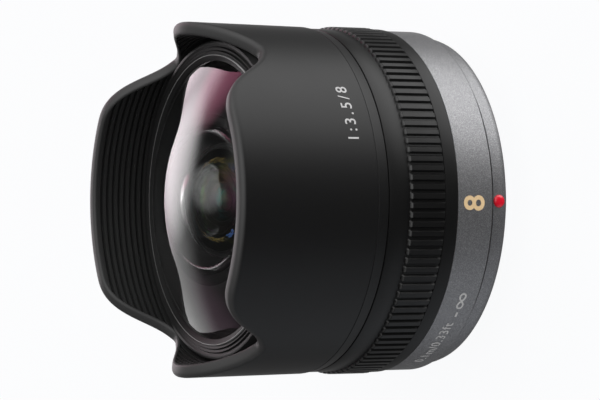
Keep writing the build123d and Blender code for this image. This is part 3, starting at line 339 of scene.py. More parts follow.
def startMaterial(name):
    material = bpy.data.materials.new(name)
    material.use_nodes = True
    tree = material.node_tree
    return material, tree, tree.nodes["Principled BSDF"]


def addGroup(tree, group, **values):
    node = tree.nodes.new("ShaderNodeGroup")
    node.node_tree = group
    setInputs(node, **values)
    return node


def addBump(tree, shader, height, strength):
    raised = tree.nodes.new("ShaderNodeBump")
    setInputs(raised, Strength=strength, Distance=grainLook["depth"])
    connect(
        tree,
        (height, raised.inputs["Height"]),
        (raised.outputs["Normal"], shader.inputs["Normal"]),
    )


def grainMaterial(name, dark, light, smooth, rough, scale, bump, **plain):
    material, tree, shader = startMaterial(name)
    look = {"Scale": scale, "Dark": dark, "Light": light, "Smooth": smooth, "Rough": rough}
    grain = addGroup(tree, grainGroup, **look)
    connect(
        tree,
        (grain.outputs["Color"], shader.inputs["Base Color"]),
        (grain.outputs["Roughness"], shader.inputs["Roughness"]),
    )
    addBump(tree, shader, grain.outputs["Height"], bump)
    setInputs(shader, **plain)
    return material


def flakeMaterial(name, base, flake, share, rough, scale, bump, **plain):
    material, tree, shader = startMaterial(name)
    flakes = addGroup(tree, flakeGroup, Scale=scale, Base=base, Flake=flake, Share=share)
    connect(tree, (flakes.outputs["Color"], shader.inputs["Base Color"]))
    addBump(tree, shader, flakes.outputs["Height"], bump)
    setInputs(shader, Roughness=rough, **plain)
    return material


def glassMaterial(name, tint, ior, film, reflectTint):
    # film is the thickness of the coating in nanometres
    material, tree, shader = startMaterial(name)
    setInputs(
        shader,
        Base_Color=tint,
        Roughness=0.0,
        Metallic=0.0,
        Transmission_Weight=1.0,
        IOR=ior,
        Specular_Tint=reflectTint,
        Thin_Film_Thickness=film,
        Thin_Film_IOR=filmIor,
    )
    return material


def blendPaintedLight(material, mask, color, rough):
    # lays another colour and roughness over the material's own, where the mask is 1; this carries
    # the painted highlights and the hood's painted light inside
    tree = material.node_tree
    shader = tree.nodes["Principled BSDF"]
    for socket, mix, value in (
        ("Base Color", newColorMix(tree), color),
        ("Roughness", tree.nodes.new("ShaderNodeMix"), rough),
    ):
        under = shader.inputs[socket].links[0].from_socket
        setInputs(mix, B=value)
        connect(
            tree,
            (mask, mix.inputs["Factor"]),
            (under, mix.inputs["A"]),
            (mix.outputs["Result"], shader.inputs[socket]),
        )


def ringedMaterial(name, outside, bore, wall, inside, insideRough, **plain):
    # one colour far from the lens axis, and another nearer to it than the wall; on the hood the
    # paler inside is painted light, on the front cell the faint magenta further out is a painted
    # reflection
    material = grainMaterial(name, *outside, **plain)
    mask = addGroup(material.node_tree, insideGroup, Bore=bore * mm, Wall=wall * mm)
    blendPaintedLight(material, mask.outputs["Mask"], inside, insideRough)
    return material


def addPaintedHighlight(material, highlight, highlightRough):
    # painted highlight: the colour turns paler and the roughness changes as far as the piece's own
    # attribute says
    share = material.node_tree.nodes.new("ShaderNodeAttribute")
    share.attribute_name = "highlight"
    blendPaintedLight(material, share.outputs["Fac"], highlight, highlightRough)


# Finishes by material slot. A grain reads: dark, light, smooth, rough, scale, bump.
# A ringed one reads: its grain, bore, wall, colour and roughness inside. The lacquer reads:
# base, flake, share, rough, scale, bump. A glass reads: tint, ior, coating, tint of reflections
finish = {
    # the hood's inside is painted paler than its outside: painted light on the inner wall and its
    # grooves
    "hood_black": ringedMaterial(
        "hoodSatin",
        (grey(0.0035), grey(0.006, 1.05), 0.40, 0.44, 9000, 0.25),
        28.1,
        28.6,
        grey(0.019),
        0.5,
        Specular_IOR_Level=0.27,
    ),
    "trim_black": grainMaterial(
        "trimSatin", grey(0.009), grey(0.012), 0.42, 0.48, 7000, 0.1, Specular_IOR_Level=0.12
    ),
    "grip_black": grainMaterial(
        "gripSatin", grey(0.003), grey(0.005), 0.36, 0.42, 8000, 0.15, Specular_IOR_Level=0.26
    ),
    "grey_metal": flakeMaterial(
        "greyLacquer", grey(0.175, 1.05), grey(0.36), 0.5, 0.40, 14000, 0.4, Metallic=0.75
    ),
    "mount_metal": grainMaterial(
        "satinChrome", grey(0.55), grey(0.66), 0.2, 0.32, 1500, 0.05, Metallic=1.0
    ),
    "dot_red": grainMaterial(
        "dotRed", (0.60, 0.006, 0.020, 1), (0.68, 0.008, 0.026, 1), 0.06, 0.10, 900, 0.02
    ),
    "baffle_black": grainMaterial("baffleMatte", grey(0.008), grey(0.012), 0.5, 0.6, 5000, 0.2),
    "contact_black": grainMaterial(
        "contactPlastic", grey(0.010), grey(0.014), 0.35, 0.45, 3000, 0.1
    ),
    "contact_gold": grainMaterial(
        "contactGold",
        (0.70, 0.42, 0.12, 1),
        (0.80, 0.52, 0.18, 1),
        0.2,
        0.3,
        3000,
        0.05,
        Metallic=1.0,
    ),
    "screw_steel": grainMaterial(
        "screwSteel", grey(0.3), grey(0.42), 0.25, 0.35, 2500, 0.1, Metallic=1.0
    ),
    "seal_rubber": grainMaterial("sealRubber", grey(0.006), grey(0.010), 0.5, 0.6, 6000, 0.2),
    # the front cell is black, with a faint magenta tint away from the axis: a painted reflection
    # of the lens coating
    "cell_black": ringedMaterial(
        "cellBlackPaintedReflection",
        ((0.002, 0.001, 0.0015, 1), (0.003, 0.0015, 0.002, 1), 0.5, 0.6, 5000, 0.1),
        16.5,
        20.5,
        grey(0.004),
        0.5,
    ),
    "inner_black": grainMaterial("innerPlastic", grey(0.004), grey(0.008), 0.5, 0.6, 4000, 0.2),
    "comb_white": grainMaterial("combPlastic", grey(0.5), grey(0.56), 0.4, 0.5, 3000, 0.05),
    "blade_black": grainMaterial("bladeLacquer", grey(0.008), grey(0.013), 0.35, 0.45, 5000, 0.05),
    "cam_metal": grainMaterial(
        "camAlloy", grey(0.28), grey(0.36), 0.3, 0.42, 3000, 0.1, Metallic=1.0
    ),
    "motor_steel": grainMaterial(
        "motorSteel", grey(0.42), grey(0.5), 0.25, 0.35, 2000, 0.05, Metallic=1.0
    ),
    "rod_steel": grainMaterial(
        "rodSteel", grey(0.55), grey(0.62), 0.12, 0.2, 2000, 0.02, Metallic=1.0
    ),
    "gear_brass": grainMaterial(
        "gearBrass",
        (0.55, 0.36, 0.12, 1),
        (0.65, 0.44, 0.16, 1),
        0.25,
        0.35,
        2500,
        0.05,
        Metallic=1.0,
    ),
    "board_green": grainMaterial(
        "boardMask", (0.008, 0.08, 0.03, 1), (0.012, 0.11, 0.04, 1), 0.25, 0.35, 1500, 0.1
    ),
    "chip_black": grainMaterial("chipResin", grey(0.012), grey(0.02), 0.45, 0.55, 4000, 0.1),
    "flex_amber": grainMaterial(
        "flexFilm", (0.30, 0.11, 0.015, 1), (0.38, 0.15, 0.02, 1), 0.25, 0.35, 1500, 0.05
    ),
    "dome_glass": glassMaterial("domeGlass", (0.95, 0.97, 0.96, 1), 1.7, 0, (1, 1, 1, 1)),
    "inner_glass": glassMaterial(
        "innerGlass", (0.95, 0.98, 0.97, 1), 1.6, 470, (0.26, 0.36, 0.3, 1)
    ),
}
deepGlass = glassMaterial("deepGlass", (0.95, 0.98, 0.97, 1), 1.6, 380, (0.3, 0.46, 0.42, 1))
# painted highlights: the hood's rounded rim, the trim ring's crest and the ribs' front ends are
# painted paler
addPaintedHighlight(finish["hood_black"], grey(0.045), 0.5)
addPaintedHighlight(finish["trim_black"], grey(0.3), 0.3)
addPaintedHighlight(finish["grip_black"], grey(0.05), 0.35)
for part in frame["record"]["subparts"]:
    node = nodes[part["node"]]
    node.data.materials.clear()
    node.data.materials.append(finish[part["material_slot"]])
print("materials made")


# Hood: one shell with petals, a rounded rim and grooves inside. baseRound and stepGroove hold
# how far in, and how far up or down, from their corner; pullHeight is how far below the rim
# the rows of the bore begin to follow it, and the powers say how late rows do so
hood = {
    "base": (29.75, 24.15),
    "baseRound": ((0.3, 0.0), (0.05, 0.03), (0.0, 0.18)),
    "step": (30.05, 26.3),
    "stepGroove": ((0.03, 0.2), (0.1, 0.14), (0.1, 0.08), (0.0, 0.0)),
    "tip": (30.35, 51.7),
    "bore": 28.0,
    "inside": (
        (28.0, 35.09),
        (26.6, 35.09),
        (26.6, 28.2),
        (20.0, 28.2),
        (20.0, 26.6),
        (27.55, 26.6),
        (27.55, 24.15),
    ),
    "longPetal": ((14.0, 51.7), (20.9, 47.6), (23.4, 43.2), (25.8, 41.4)),
    "shortPetal": ((0.0, 48.4), (8.3, 45.6), (13.0, 42.9), (17.2, 41.4)),
    "beyondTip": 5,
    "smoothing": 5,
    "wallShares": (0.02, 0.25, 0.5, 0.75, 0.9, 0.98),
    "wallPower": 6,
    "outerRound": 0.9,
    "outerSteps": 6,
    "innerRound": 0.5,
    "innerSteps": 4,
    "highlightBend": 0.6,
    "grooveStart": 42.1,
    "groovePitch": 1.117,
    "grooveDepth": 0.32,
    "grooveCount": 8,
    "grooveShape": ((0.55, 0), (0.12, 1), (0.0, 1), (-0.02, 0)),
    "pullHeight": 2,
    "borePower": 3,
    "columns": 960,
    "crease": 35,
}


def flatEndedSpline(points, x):
    # cubic through the points whose slope is zero at both ends,
    # with even curvature where its pieces meet
    points = np.asarray(points, float)
    px, pz = points[:, 0], points[:, 1]
    step = np.diff(px)
    rise = np.diff(pz) / step
    count = len(px)
    system = np.eye(count)
    known = np.zeros(count)
    middle = np.arange(1, count - 1)
    system[middle, middle - 1] = step[1:]
    system[middle, middle] = 2 * (step[:-1] + step[1:])
    system[middle, middle + 1] = step[:-1]
    known[middle] = 3 * (step[1:] * rise[:-1] + step[:-1] * rise[1:])
    slope = np.linalg.solve(system, known)
    index = np.clip(np.searchsorted(px, x) - 1, 0, count - 2)
    t = np.clip((x - px[index]) / step[index], 0, 1)
    h = step[index]
    return (
        (2 * t**3 - 3 * t**2 + 1) * pz[index]
        + (t**3 - 2 * t**2 + t) * h * slope[index]
        + (3 * t**2 - 2 * t**3) * pz[index + 1]
        + (t**3 - t**2) * h * slope[index + 1]
    )


def rimHeight(angle, radius):
    # the lower of two curves: one over |x| for the long petals, one over |y| for the short ones
    x, y = np.abs(radius * np.sin(angle)), np.abs(radius * np.cos(angle))
    far = hood["tip"][1] + hood["beyondTip"]
    over, side = (
        np.where(across < hood[petal][-1][0], flatEndedSpline(hood[petal], across), far)
        for petal, across in (("longPetal", x), ("shortPetal", y))
    )
    height = np.minimum(over, side)
    kernel = np.ones(hood["smoothing"]) / hood["smoothing"]
    reach = hood["smoothing"] // 2
    padded = np.concatenate([height[-reach:], height, height[:reach]])
    return np.convolve(padded, kernel, "valid")


def insetRim(angle, height, radius, amount):
    # moves the rim curve into the wall, square to the curve on the unrolled wall
    along = radius * (np.roll(angle, -1) - np.roll(angle, 1) + 2 * np.pi) % (2 * np.pi * radius)
    slope = (np.roll(height, -1) - np.roll(height, 1)) / along
    length = np.sqrt(1 + slope**2)
    return angle + amount * slope / length / radius, height - amount / length


def buildHood():
    angle = np.linspace(0, 2 * np.pi, hood["columns"], endpoint=False)
    (baseRadius, base), (stepRadius, step) = hood["base"], hood["step"]
    outerRadius, tip = hood["tip"]
    rise = (outerRadius - stepRadius) / (tip - step)
    rim = rimHeight(angle, outerRadius)
    rows = []
    highlight = []

    def addRow(turn, radius, height, highlightShare=0.0):
        rows.append(around(turn, radius, height))
        highlight.append(highlightShare + 0 * turn)

    for inward, up in hood["baseRound"]:
        addRow(angle, baseRadius - inward, base + up)
    for inward, below in hood["stepGroove"]:
        addRow(angle, stepRadius - inward, step - below)
    insetTurn, insetTop = insetRim(angle, rim, outerRadius, hood["outerRound"])
    for share in hood["wallShares"]:
        height = step + share * (insetTop - step)
        turn = angle + (insetTurn - angle) * share ** hood["wallPower"]
        addRow(turn, stepRadius + rise * (height - step), height)
    wall = stepRadius + rise * (insetTop - step)
    # the rounded rim, outside and inside, is painted paler towards its top: a painted highlight
    for bend in np.linspace(0, np.pi / 2, hood["outerSteps"]):
        inset = hood["outerRound"] * (1 - np.sin(bend))
        turn, height = insetRim(angle, rim, outerRadius, inset)
        radius = wall - hood["outerRound"] * (1 - np.cos(bend))
        addRow(turn, radius, height, min(bend / hood["highlightBend"], 1.0))
    for bend in np.linspace(np.pi / 2, 0, hood["innerSteps"]):
        inset = hood["innerRound"] * (1 - np.sin(bend))
        turn, height = insetRim(angle, rim, hood["bore"], inset)
        radius = hood["bore"] + hood["innerRound"] * (1 - np.cos(bend))
        addRow(turn, radius, height, min(bend / hood["highlightBend"], 1.0))
    innerTurn, innerTop = insetRim(angle, rim, hood["bore"], hood["innerRound"])
    pull = hood["pullHeight"]
    for index in reversed(range(hood["grooveCount"])):
        low = hood["grooveStart"] + index * hood["groovePitch"]
        for up, depth in hood["grooveShape"]:
            clipped = np.minimum(low + up, innerTop)
            cut = hood["grooveDepth"] * depth * (low + up < innerTop)
            near = np.clip((clipped - innerTop + pull) / pull, 0, 1) ** hood["borePower"]
            addRow(angle + (innerTurn - angle) * near, hood["bore"] + cut, clipped)
    for radius, height in hood["inside"]:
        addRow(angle, radius, height)
    return meshFromGrid("hoodShell", np.stack(rows), True, True, hood["crease"], highlight)


dress(buildHood(), finish["hood_black"], "lens_body", "hood_black", "front_hood")
print("hood built")


# Trim ring: a lip over the edge of the glass, a crest, and fine ridges that step down outwards
trim = {
    "sealRadius": 24.7,
    "lipRadius": 23.8,
    "lipHeight": 42.0,
    "crest": (24.8, 42.4),
    "nearCrest": (0.13, 0.052),
    "highlightReach": 0.08,
    "ridgeCount": 3,
    "ridgeWidth": 0.63,
    "ridgeDrop": 0.12,
    "grooveShare": 0.3,
    "grooveDepth": 0.36,
    "plateau": 27.2,
    "edgeDrop": 1.2,
    "outer": 27.95,
    "cut": 0.06,
    "cutSteps": 2,
    "columns": 288,
    "crease": 30,
}


def buildTrim():
    # each ridge falls steeply from its crest to a groove, then rises slowly to the next crest
    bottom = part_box("front_trim_ring")[0].z / mm
    radius, height = trim["crest"]
    corners = [
        (trim["sealRadius"], bottom),
        (trim["sealRadius"], trim["lipHeight"]),
        (trim["lipRadius"], trim["lipHeight"]),
        (radius - trim["nearCrest"][0], height - trim["nearCrest"][1]),
        (radius, height),
    ]
    for index in range(trim["ridgeCount"]):
        groove = height - trim["grooveDepth"]
        corners.append((radius + trim["grooveShare"] * trim["ridgeWidth"], groove))
        radius, height = radius + trim["ridgeWidth"], height - trim["ridgeDrop"]
        corners.append((radius, height))
    corners += [
        (trim["plateau"], height),
        (trim["outer"], height - trim["edgeDrop"]),
        (trim["outer"], bottom),
    ]
    outline = softOutline(corners, trim["cut"], trim["cutSteps"])
    # the crest is painted paler and glossier: a painted highlight along it
    fromCrest = np.hypot(*(outline - trim["crest"]).T)
    crestHighlight = np.repeat(fromCrest < trim["highlightReach"], trim["columns"])
    return turned("trimCone", outline, trim["columns"], True, trim["crease"], crestHighlight)


dress(buildTrim(), finish["trim_black"], "lens_body", "trim_black", "front_trim_ring")


# Glass: each element is turned from its two round faces.
# A row reads: node, vertex height, front radius, rear radius, thickness, rim, rear rim
glassTable = (
    ("element_1", 48.5, 46.605, 13.5, 2.22, 23.9, 12.8),
    ("element_2", 39.8, 24.0, 8.2, 1.3, 11.8, 7.6),
    ("element_3", 28.6, -40.0, 14.0, 0.9, 8.2, 6.8),
    ("element_4", 27.4, 15.0, -30.0, 3.0, 6.6, 6.6),
    ("element_5", 17.5, 16.0, -22.0, 2.6, 5.8, 5.8),
    ("element_6", 14.2, 18.0, -16.0, 3.2, 6.4, 6.4),
    ("element_7", 10.98, -16.0, -60.0, 1.0, 6.4, 6.4),
    ("element_8", 7.4, -40.0, 20.0, 1.0, 8.0, 8.0),
    ("element_9", 5.9, 22.0, -25.0, 4.0, 8.3, 8.3),
    ("element_10", 1.6, 32.0, -60.0, 2.4, 9.0, 9.0),
)
glass = {
    "domed": ("element_1",),
    "near": ("element_2", "element_4"),
    "moving": ("element_5", "element_6", "element_7"),
    "frontRings": 28,
    "rearRings": 24,
    "columns": 192,
    "crease": 30,
}


def sphereFace(vertex, radius, distance):
    # height of a round face at a distance from the axis
    return vertex - radius + np.sign(radius) * np.sqrt(radius**2 - distance**2)


def buildGlass(node, vertex, front, rear, thickness, rim, rearRim):
    ahead = np.sin(np.linspace(0, np.pi / 2, glass["frontRings"])) * rim
    behind = np.sin(np.linspace(np.pi / 2, 0, glass["rearRings"])) * rearRim
    outline = np.concatenate(
        [
            np.stack([ahead, sphereFace(vertex, front, ahead)], 1),
            [(rim, sphereFace(vertex - thickness, rear, rearRim))],
            np.stack([behind, sphereFace(vertex - thickness, rear, behind)], 1),
        ]
    )
    name = node.replace("element", "glass")
    return turned(name, outline, glass["columns"], False, glass["crease"])


for row in glassTable:
    node = row[0]
    slot = "dome_glass" if node in glass["domed"] else "inner_glass"
    coating = finish[slot] if node in glass["domed"] + glass["near"] else deepGlass
    body = "focus_group" if node in glass["moving"] else "lens_body"
    dress(buildGlass(*row), coating, body, slot, node)
print("glass built")


# Focus ring: 120 ribs between two plain bands
grip = {
    "start": 10.95,
    "ribStart": 13.45,
    "ribEnd": 20.2,
    "end": 24.05,
    "rearBore": 28.4,
    "rearBand": 30.05,
    "ribRadius": 30.25,
    "frontBand": 29.8,
    "ribCount": 120,
    "grooveDepth": 0.4,
    "grooveShare": 0.32,
    "flankStart": 1.25,
    "flankWidth": 0.35,
    "softInset": 0.12,
    "softLoss": 0.1,
    "bore": 27.6,
    "boreStep": (28.3, 15.0),
    "samples": 12,
    "highlightRow": 10,
    "crease": 28,
}


def buildGrip():
    # radius = that of a band, or along the ribs the rib's radius less the groove's depth,
    # which runs from 0 on a rib to 1 in a groove; soft is the lower ramp where the ribs begin
    samples, share = grip["samples"], grip["grooveShare"]
    phase = (np.arange(grip["ribCount"] * samples) % samples) / samples
    angle = np.arange(len(phase)) / len(phase) * 2 * np.pi
    fromMiddle = np.abs(phase - 0.5) * 2
    flank = fromMiddle - (1 - share * grip["flankStart"])
    groove = np.clip(flank / (share * grip["flankWidth"]), 0, 1)
    rib = grip["ribRadius"] - grip["grooveDepth"] * groove
    soft = (
        grip["ribRadius"] - grip["softInset"] - (grip["grooveDepth"] - grip["softLoss"]) * groove
    )
    rearBand, frontBand = grip["rearBand"], grip["frontBand"]
    start, ribStart = grip["start"], grip["ribStart"]
    ribEnd, end = grip["ribEnd"], grip["end"]
    stepRadius, stepHeight = grip["boreStep"]
    # rear edge and band, start of the ribs, ribs, their front ends, which carry a painted
    # highlight, front band and edge, bore
    rows = [
        (grip["rearBore"], start),
        (rearBand - 0.22, start),
        (rearBand, start + 0.2),
        (rearBand, ribStart - 0.16),
        (rearBand - 0.03, ribStart - 0.05),
        (np.minimum(rearBand - 0.14, soft), ribStart + 0.02),
        (np.minimum(rib, soft + 0.04), ribStart + 0.12),
        (rib, ribStart + 0.28),
        (rib, (ribStart + ribEnd) / 2),
        (rib, ribEnd - 0.42),
        (rib - 0.1 * (1 - groove), ribEnd - 0.28),
        (np.maximum(frontBand - 0.05, rib - 0.36), ribEnd - 0.04),
        (frontBand - 0.04, ribEnd + 0.02),
        (frontBand, ribEnd + 0.1),
        (frontBand, end - 0.2),
        (frontBand - 0.05, end - 0.06),
        (frontBand - 0.2, end),
        (grip["bore"], end),
        (grip["bore"], stepHeight),
        (stepRadius, stepHeight),
    ]
    points = np.stack([around(angle, radius, height) for radius, height in rows])
    # the ribs' front ends are painted paler: a painted highlight, as bright specks
    highlight = np.zeros(points.shape[:2])
    highlight[grip["highlightRow"]] = 1 - groove
    return meshFromGrid("gripRing", points, True, True, grip["crease"], highlight)


dress(buildGrip(), finish["grip_black"], "focus_ring", "grip_black", "focus_ring")
print("focus ring built")


# Rear barrel and skirt: outlines of radius and height, and how much of each corner is cut
rear = {
    "barrel": (
        (28.3, 4.1),
        (29.8, 4.1),
        (29.8, 10.85),
        (27.55, 10.85),
        (27.55, 9.65),
        (28.3, 9.65),
    ),
    "barrelCuts": (0, 0.3, 0.12, 0, 0, 0),
    "skirt": (
        (27.65, 0.6),
        (28.3, 0.6),
        (28.6, 0.85),
        (28.85, 1.6),
        (28.85, 3.45),
        (28.3, 3.45),
        (28.3, 3.68),
        (28.85, 3.68),
        (28.85, 4.1),
        (28.25, 4.1),
        (28.25, 6.1),
        (27.65, 6.1),
    ),
    "skirtCuts": (0, 0.2, 0.2, 0.3, 0.03, 0, 0, 0.03, 0, 0, 0, 0),
    "cutSteps": 4,
    "columns": 288,
}
for name, part, node in (
    ("greyBarrel", "barrel", "rear_barrel"),
    ("mountSkirt", "skirt", "mount_skirt"),
):
    outline = softOutline(rear[part], rear[part + "Cuts"], rear["cutSteps"])
    piece = turned(name, outline, rear["columns"])
    dress(piece, finish["grey_metal"], "lens_body", "grey_metal", node)

dot = {
    "radius": 1.1,
    "height": 2.35,
    "seat": 28.1,
    "proud": 29.3,
    "dome": 0.5,
    "rings": 9,
    "columns": 48,
    "crease": 40,
}


def buildDot():
    # a low dome turned about its own axis, which looks along -Y
    turn = np.linspace(0, 2 * np.pi, dot["columns"], endpoint=False)
    bend = np.linspace(0, np.pi / 2, dot["rings"])
    radius = np.concatenate([[0], [dot["radius"]], dot["radius"] * np.cos(bend)])[:, None]
    top = dot["proud"] - dot["dome"] + dot["dome"] * np.sin(bend)
    out = np.concatenate([[dot["seat"]] * 2, top])[:, None]
    height = dot["height"] + radius * np.sin(turn)
    points = np.stack([radius * np.cos(turn), -out + 0 * turn, height], -1)
    return meshFromGrid("indexDot", points, False, True, dot["crease"])


dress(buildDot(), finish["dot_red"], "lens_body", "dot_red", "index_dot")


# Painted marks, laid round the lens, reading from -X to +X past -Y, with their tops to the front.
# A row reads: name, text, radius, turn in degrees, height, size, weight, spacing, ink
marks = (
    ("ringNumber", "8", 29.8, -0.6, 7.79, 5.5, 0.09, 1.0, "markGold"),
    ("ratioNumber", "1:3.5/8", 30.1, 28.8, 30.1, 2.85, 0.015, 1.34, "markWhite"),
    ("nearMark", "0.1m/0.33ft", 29.8, -56.6, 7.6, 2.5, 0.02, 1.12, "markGrey"),
    ("markDash", "-", 29.8, -40.3, 7.0, 4.0, 0.0, 1.0, "markGrey"),
)
lettering = {"extrude": 0.02, "curveSteps": 6, "lift": 0.035, "depthShare": 0.8, "crease": 40}
endless = {
    "name": "endlessMark",
    "radius": 29.8,
    "turn": -34.7,
    "height": 7.06,
    "width": 1.5,
    "halfStroke": 0.16,
    "lift": 0.05,
    "columns": 96,
    "ink": "markGrey",
}
ink = {
    "markGold": grainMaterial(
        "markGold", (0.66, 0.47, 0.25, 1), (0.74, 0.54, 0.31, 1), 0.35, 0.45, 2500, 0.05
    ),
    "markWhite": grainMaterial("markWhite", grey(0.42), grey(0.52), 0.45, 0.55, 2500, 0.05),
    "markGrey": grainMaterial("markGrey", grey(0.48), grey(0.56), 0.45, 0.55, 2500, 0.05),
}


def paint(piece, color):
    piece.data.materials.clear()
    piece.data.materials.append(ink[color])
    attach(piece, "lens_body")


def buildMark(name, words, radius, turn, height, size, weight, spacing, color):
    # angle = turn + across / radius, and height = up, for each point of the flat letters
    data = bpy.data.curves.new(name, "FONT")
    data.body = words
    data.size = size
    data.offset = weight
    data.space_character = spacing
    data.extrude = lettering["extrude"]
    data.resolution_u = lettering["curveSteps"]
    data.align_x = "CENTER"
    data.align_y = "CENTER"
    flat = bpy.data.objects.new(name + "Flat", data)
    scene.collection.objects.link(flat)
    mesh = bpy.data.meshes.new_from_object(flat)
    bpy.data.objects.remove(flat)
    shape = bmesh.new()
    shape.from_mesh(mesh)
    bmesh.ops.triangulate(shape, faces=shape.faces)
    shape.to_mesh(mesh)
    shape.free()
    points = np.zeros(len(mesh.vertices) * 3)
    mesh.vertices.foreach_get("co", points)
    across, up, depth = points.reshape(-1, 3).T
    middle = (up.max() + up.min()) / 2
    angle = math.radians(turn) + across / radius
    out = radius + lettering["lift"] + depth * lettering["depthShare"]
    placed = around(angle, out, height + up - middle)
    mesh.vertices.foreach_set("co", (placed * mm).ravel())
    paint(finishMesh(name, mesh, lettering["crease"]), color)


def buildEndless():
    # a lying figure of eight carried along
    # x = w cos t / (1 + sin^2 t), z = w sin t cos t / (1 + sin^2 t)
    t = np.linspace(0, 2 * np.pi, endless["columns"], endpoint=False)
    low = 1 + np.sin(t) ** 2
    across = endless["width"] * np.cos(t) / low
    up = endless["width"] * np.sin(t) * np.cos(t) / low
    stepAcross = np.roll(across, -1) - np.roll(across, 1)
    stepUp = np.roll(up, -1) - np.roll(up, 1)
    length = np.hypot(stepAcross, stepUp)
    sideAcross = -stepUp / length * endless["halfStroke"]
    sideUp = stepAcross / length * endless["halfStroke"]
    rows = []
    for side, lift in ((1, 0.0), (1, endless["lift"]), (-1, endless["lift"]), (-1, 0.0)):
        angle = math.radians(endless["turn"]) + (across + side * sideAcross) / endless["radius"]
        height = endless["height"] + up + side * sideUp
        rows.append(around(angle, endless["radius"] + lift, height))
    piece = meshFromGrid(endless["name"], np.stack(rows), True, True, lettering["crease"])
    paint(piece, endless["ink"])


for mark in marks:
    buildMark(*mark)
buildEndless()
print("marks made")


# Mount and rear fittings: merged copies of the CAD nodes
for node, slot, name in (
    ("bayonet_mount", "mount_metal", "bayonetMount"),
    ("mount_screws", "screw_steel", "mountScrews"),
    ("contact_block", "contact_black", "contactBlock"),
    ("contact_pins", "contact_gold", "contactPins"),
    ("rear_baffle", "baffle_black", "rearBaffle"),
    ("front_seal", "seal_rubber", "frontSeal"),
    ("front_cell", "cell_black", "frontCell"),
    ("element_2_ring", "inner_black", "secondGlassRing"),
    ("middle_cell", "inner_black", "middleCell"),
):
    dress(smoothCopy(name, node), finish[slot], "lens_body", slot, node)
print("rear built")


# Stage: a plain pale floor in a white studio, lit by soft patches of the world's sphere.
# A patch reads: towards, cosine where it starts, cosine where it is full, strength, colour
white = (1, 1, 1, 1)
stage = {
    "floorHeight": -5.25,
    "floorSize": 3.0,
    "floorColor": (0.9, 0.9, 0.9, 1),
    "paper": (0.985, 0.99, 1, 1),
    "paperShare": 0.95,
    "base": 0.07,
    "backdrop": ((0, 0.884, -0.467), 0.3, 0.9, 0.2),
    "panels": (
        ((0.83, -0.28, -0.47), 0.76, 0.97, 3.3, white),
        ((0.09, 0.99, 0.05), 0.76, 0.94, 0.72, white),
        ((0.13, 0.91, 0.39), 0.955, 1.0, 2.1, white),
        ((0.25, 0.95, 0.15), 0.89, 0.99, 1.4, (1, 0.76, 0.87, 1)),
        ((0.50, 0.76, 0.42), 0.955, 1.0, 1.3, (1, 0.3, 0.5, 1)),
        ((-0.50, 0.78, 0.38), 0.955, 1.0, 0.16, (1, 0.5, 0.8, 1)),
        ((-0.86, -0.25, -0.44), 0.7, 0.97, 0.62, (0.9, 0.94, 1, 1)),
        ((0.50, -0.45, 0.74), 0.45, 0.95, 1.8, white),
    ),
}


def addPatch(tree, direction, toward, low, high, strength):
    # a smooth step over the cosine of the angle between the ray and the middle of the patch
    cosine = tree.nodes.new("ShaderNodeVectorMath")
    cosine.operation = "DOT_PRODUCT"
    cosine.inputs[1].default_value = Vector(toward).normalized()
    step = tree.nodes.new("ShaderNodeMapRange")
    step.interpolation_type = "SMOOTHSTEP"
    setInputs(step, From_Min=low, From_Max=high, To_Max=strength)
    connect(tree, (direction, cosine.inputs[0]), (cosine.outputs["Value"], step.inputs["Value"]))
    return step.outputs["Result"]


def addMath(tree, operation, first, second):
    node = tree.nodes.new("ShaderNodeMath")
    node.operation = operation
    for socket, value in zip(node.inputs, (first, second)):
        if isinstance(value, float):
            socket.default_value = value
        else:
            tree.links.new(value, socket)
    return node.outputs[0]


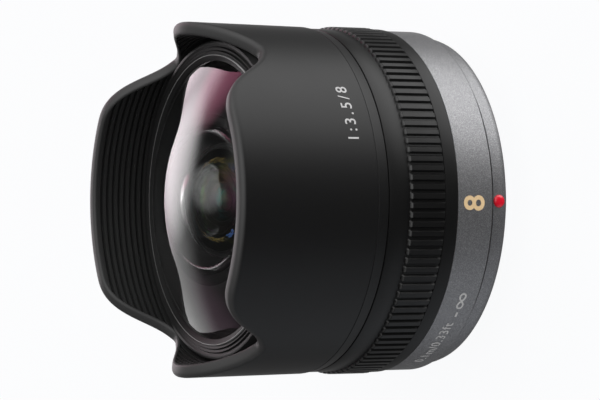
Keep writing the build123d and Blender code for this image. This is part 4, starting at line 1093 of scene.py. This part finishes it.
def buildFloor():
    size, z = stage["floorSize"], stage["floorHeight"] * mm
    corners = [(-size, -size, z), (size, -size, z), (size, size, z), (-size, size, z)]
    mesh = bpy.data.meshes.new("floor")
    mesh.from_pydata(corners, [], [(0, 1, 2, 3)])
    floor = bpy.data.objects.new("floor", mesh)
    scene.collection.objects.link(floor)
    material, tree, shader = startMaterial("floorPaper")
    setInputs(shader, Base_Color=stage["floorColor"], Roughness=0.9, Specular_IOR_Level=0.1)
    light = tree.nodes.new("ShaderNodeEmission")
    setInputs(light, Color=stage["paper"])
    seen = tree.nodes.new("ShaderNodeLightPath")
    share = addMath(tree, "MULTIPLY", seen.outputs["Is Camera Ray"], stage["paperShare"])
    mix = tree.nodes.new("ShaderNodeMixShader")
    connect(
        tree,
        (share, mix.inputs["Fac"]),
        (shader.outputs["BSDF"], mix.inputs[1]),
        (light.outputs["Emission"], mix.inputs[2]),
        (mix.outputs["Shader"], tree.nodes["Material Output"].inputs["Surface"]),
    )
    floor.data.materials.append(material)
    floor.visible_glossy = False
    floor.visible_shadow = False


def buildWorld():
    world = bpy.data.worlds.new("studio")
    scene.world = world
    world.use_nodes = True
    tree = world.node_tree
    output = tree.nodes["World Output"]
    camera = tree.nodes["Background"]
    setInputs(camera, Color=stage["paper"])
    direction = tree.nodes.new("ShaderNodeTexCoord").outputs["Generated"]
    seen = tree.nodes.new("ShaderNodeLightPath")
    glossy, passed = seen.outputs["Is Glossy Ray"], seen.outputs["Is Transmission Ray"]
    shown = addMath(tree, "MAXIMUM", glossy, passed)
    behind = addMath(tree, "MULTIPLY", shown, addPatch(tree, direction, *stage["backdrop"]))
    plain = tree.nodes.new("ShaderNodeBackground")
    tree.links.new(addMath(tree, "ADD", behind, stage["base"]), plain.inputs["Strength"])
    total = plain.outputs[0]
    for *patch, color in stage["panels"]:
        light = tree.nodes.new("ShaderNodeBackground")
        setInputs(light, Color=color)
        tree.links.new(addPatch(tree, direction, *patch), light.inputs["Strength"])
        both = tree.nodes.new("ShaderNodeAddShader")
        connect(tree, (total, both.inputs[0]), (light.outputs[0], both.inputs[1]))
        total = both.outputs[0]
    mix = tree.nodes.new("ShaderNodeMixShader")
    connect(
        tree,
        (seen.outputs["Is Camera Ray"], mix.inputs["Fac"]),
        (total, mix.inputs[1]),
        (camera.outputs[0], mix.inputs[2]),
        (mix.outputs[0], output.inputs["Surface"]),
    )


buildFloor()
buildWorld()
scene.view_settings.view_transform = "Standard"
print("stage built")
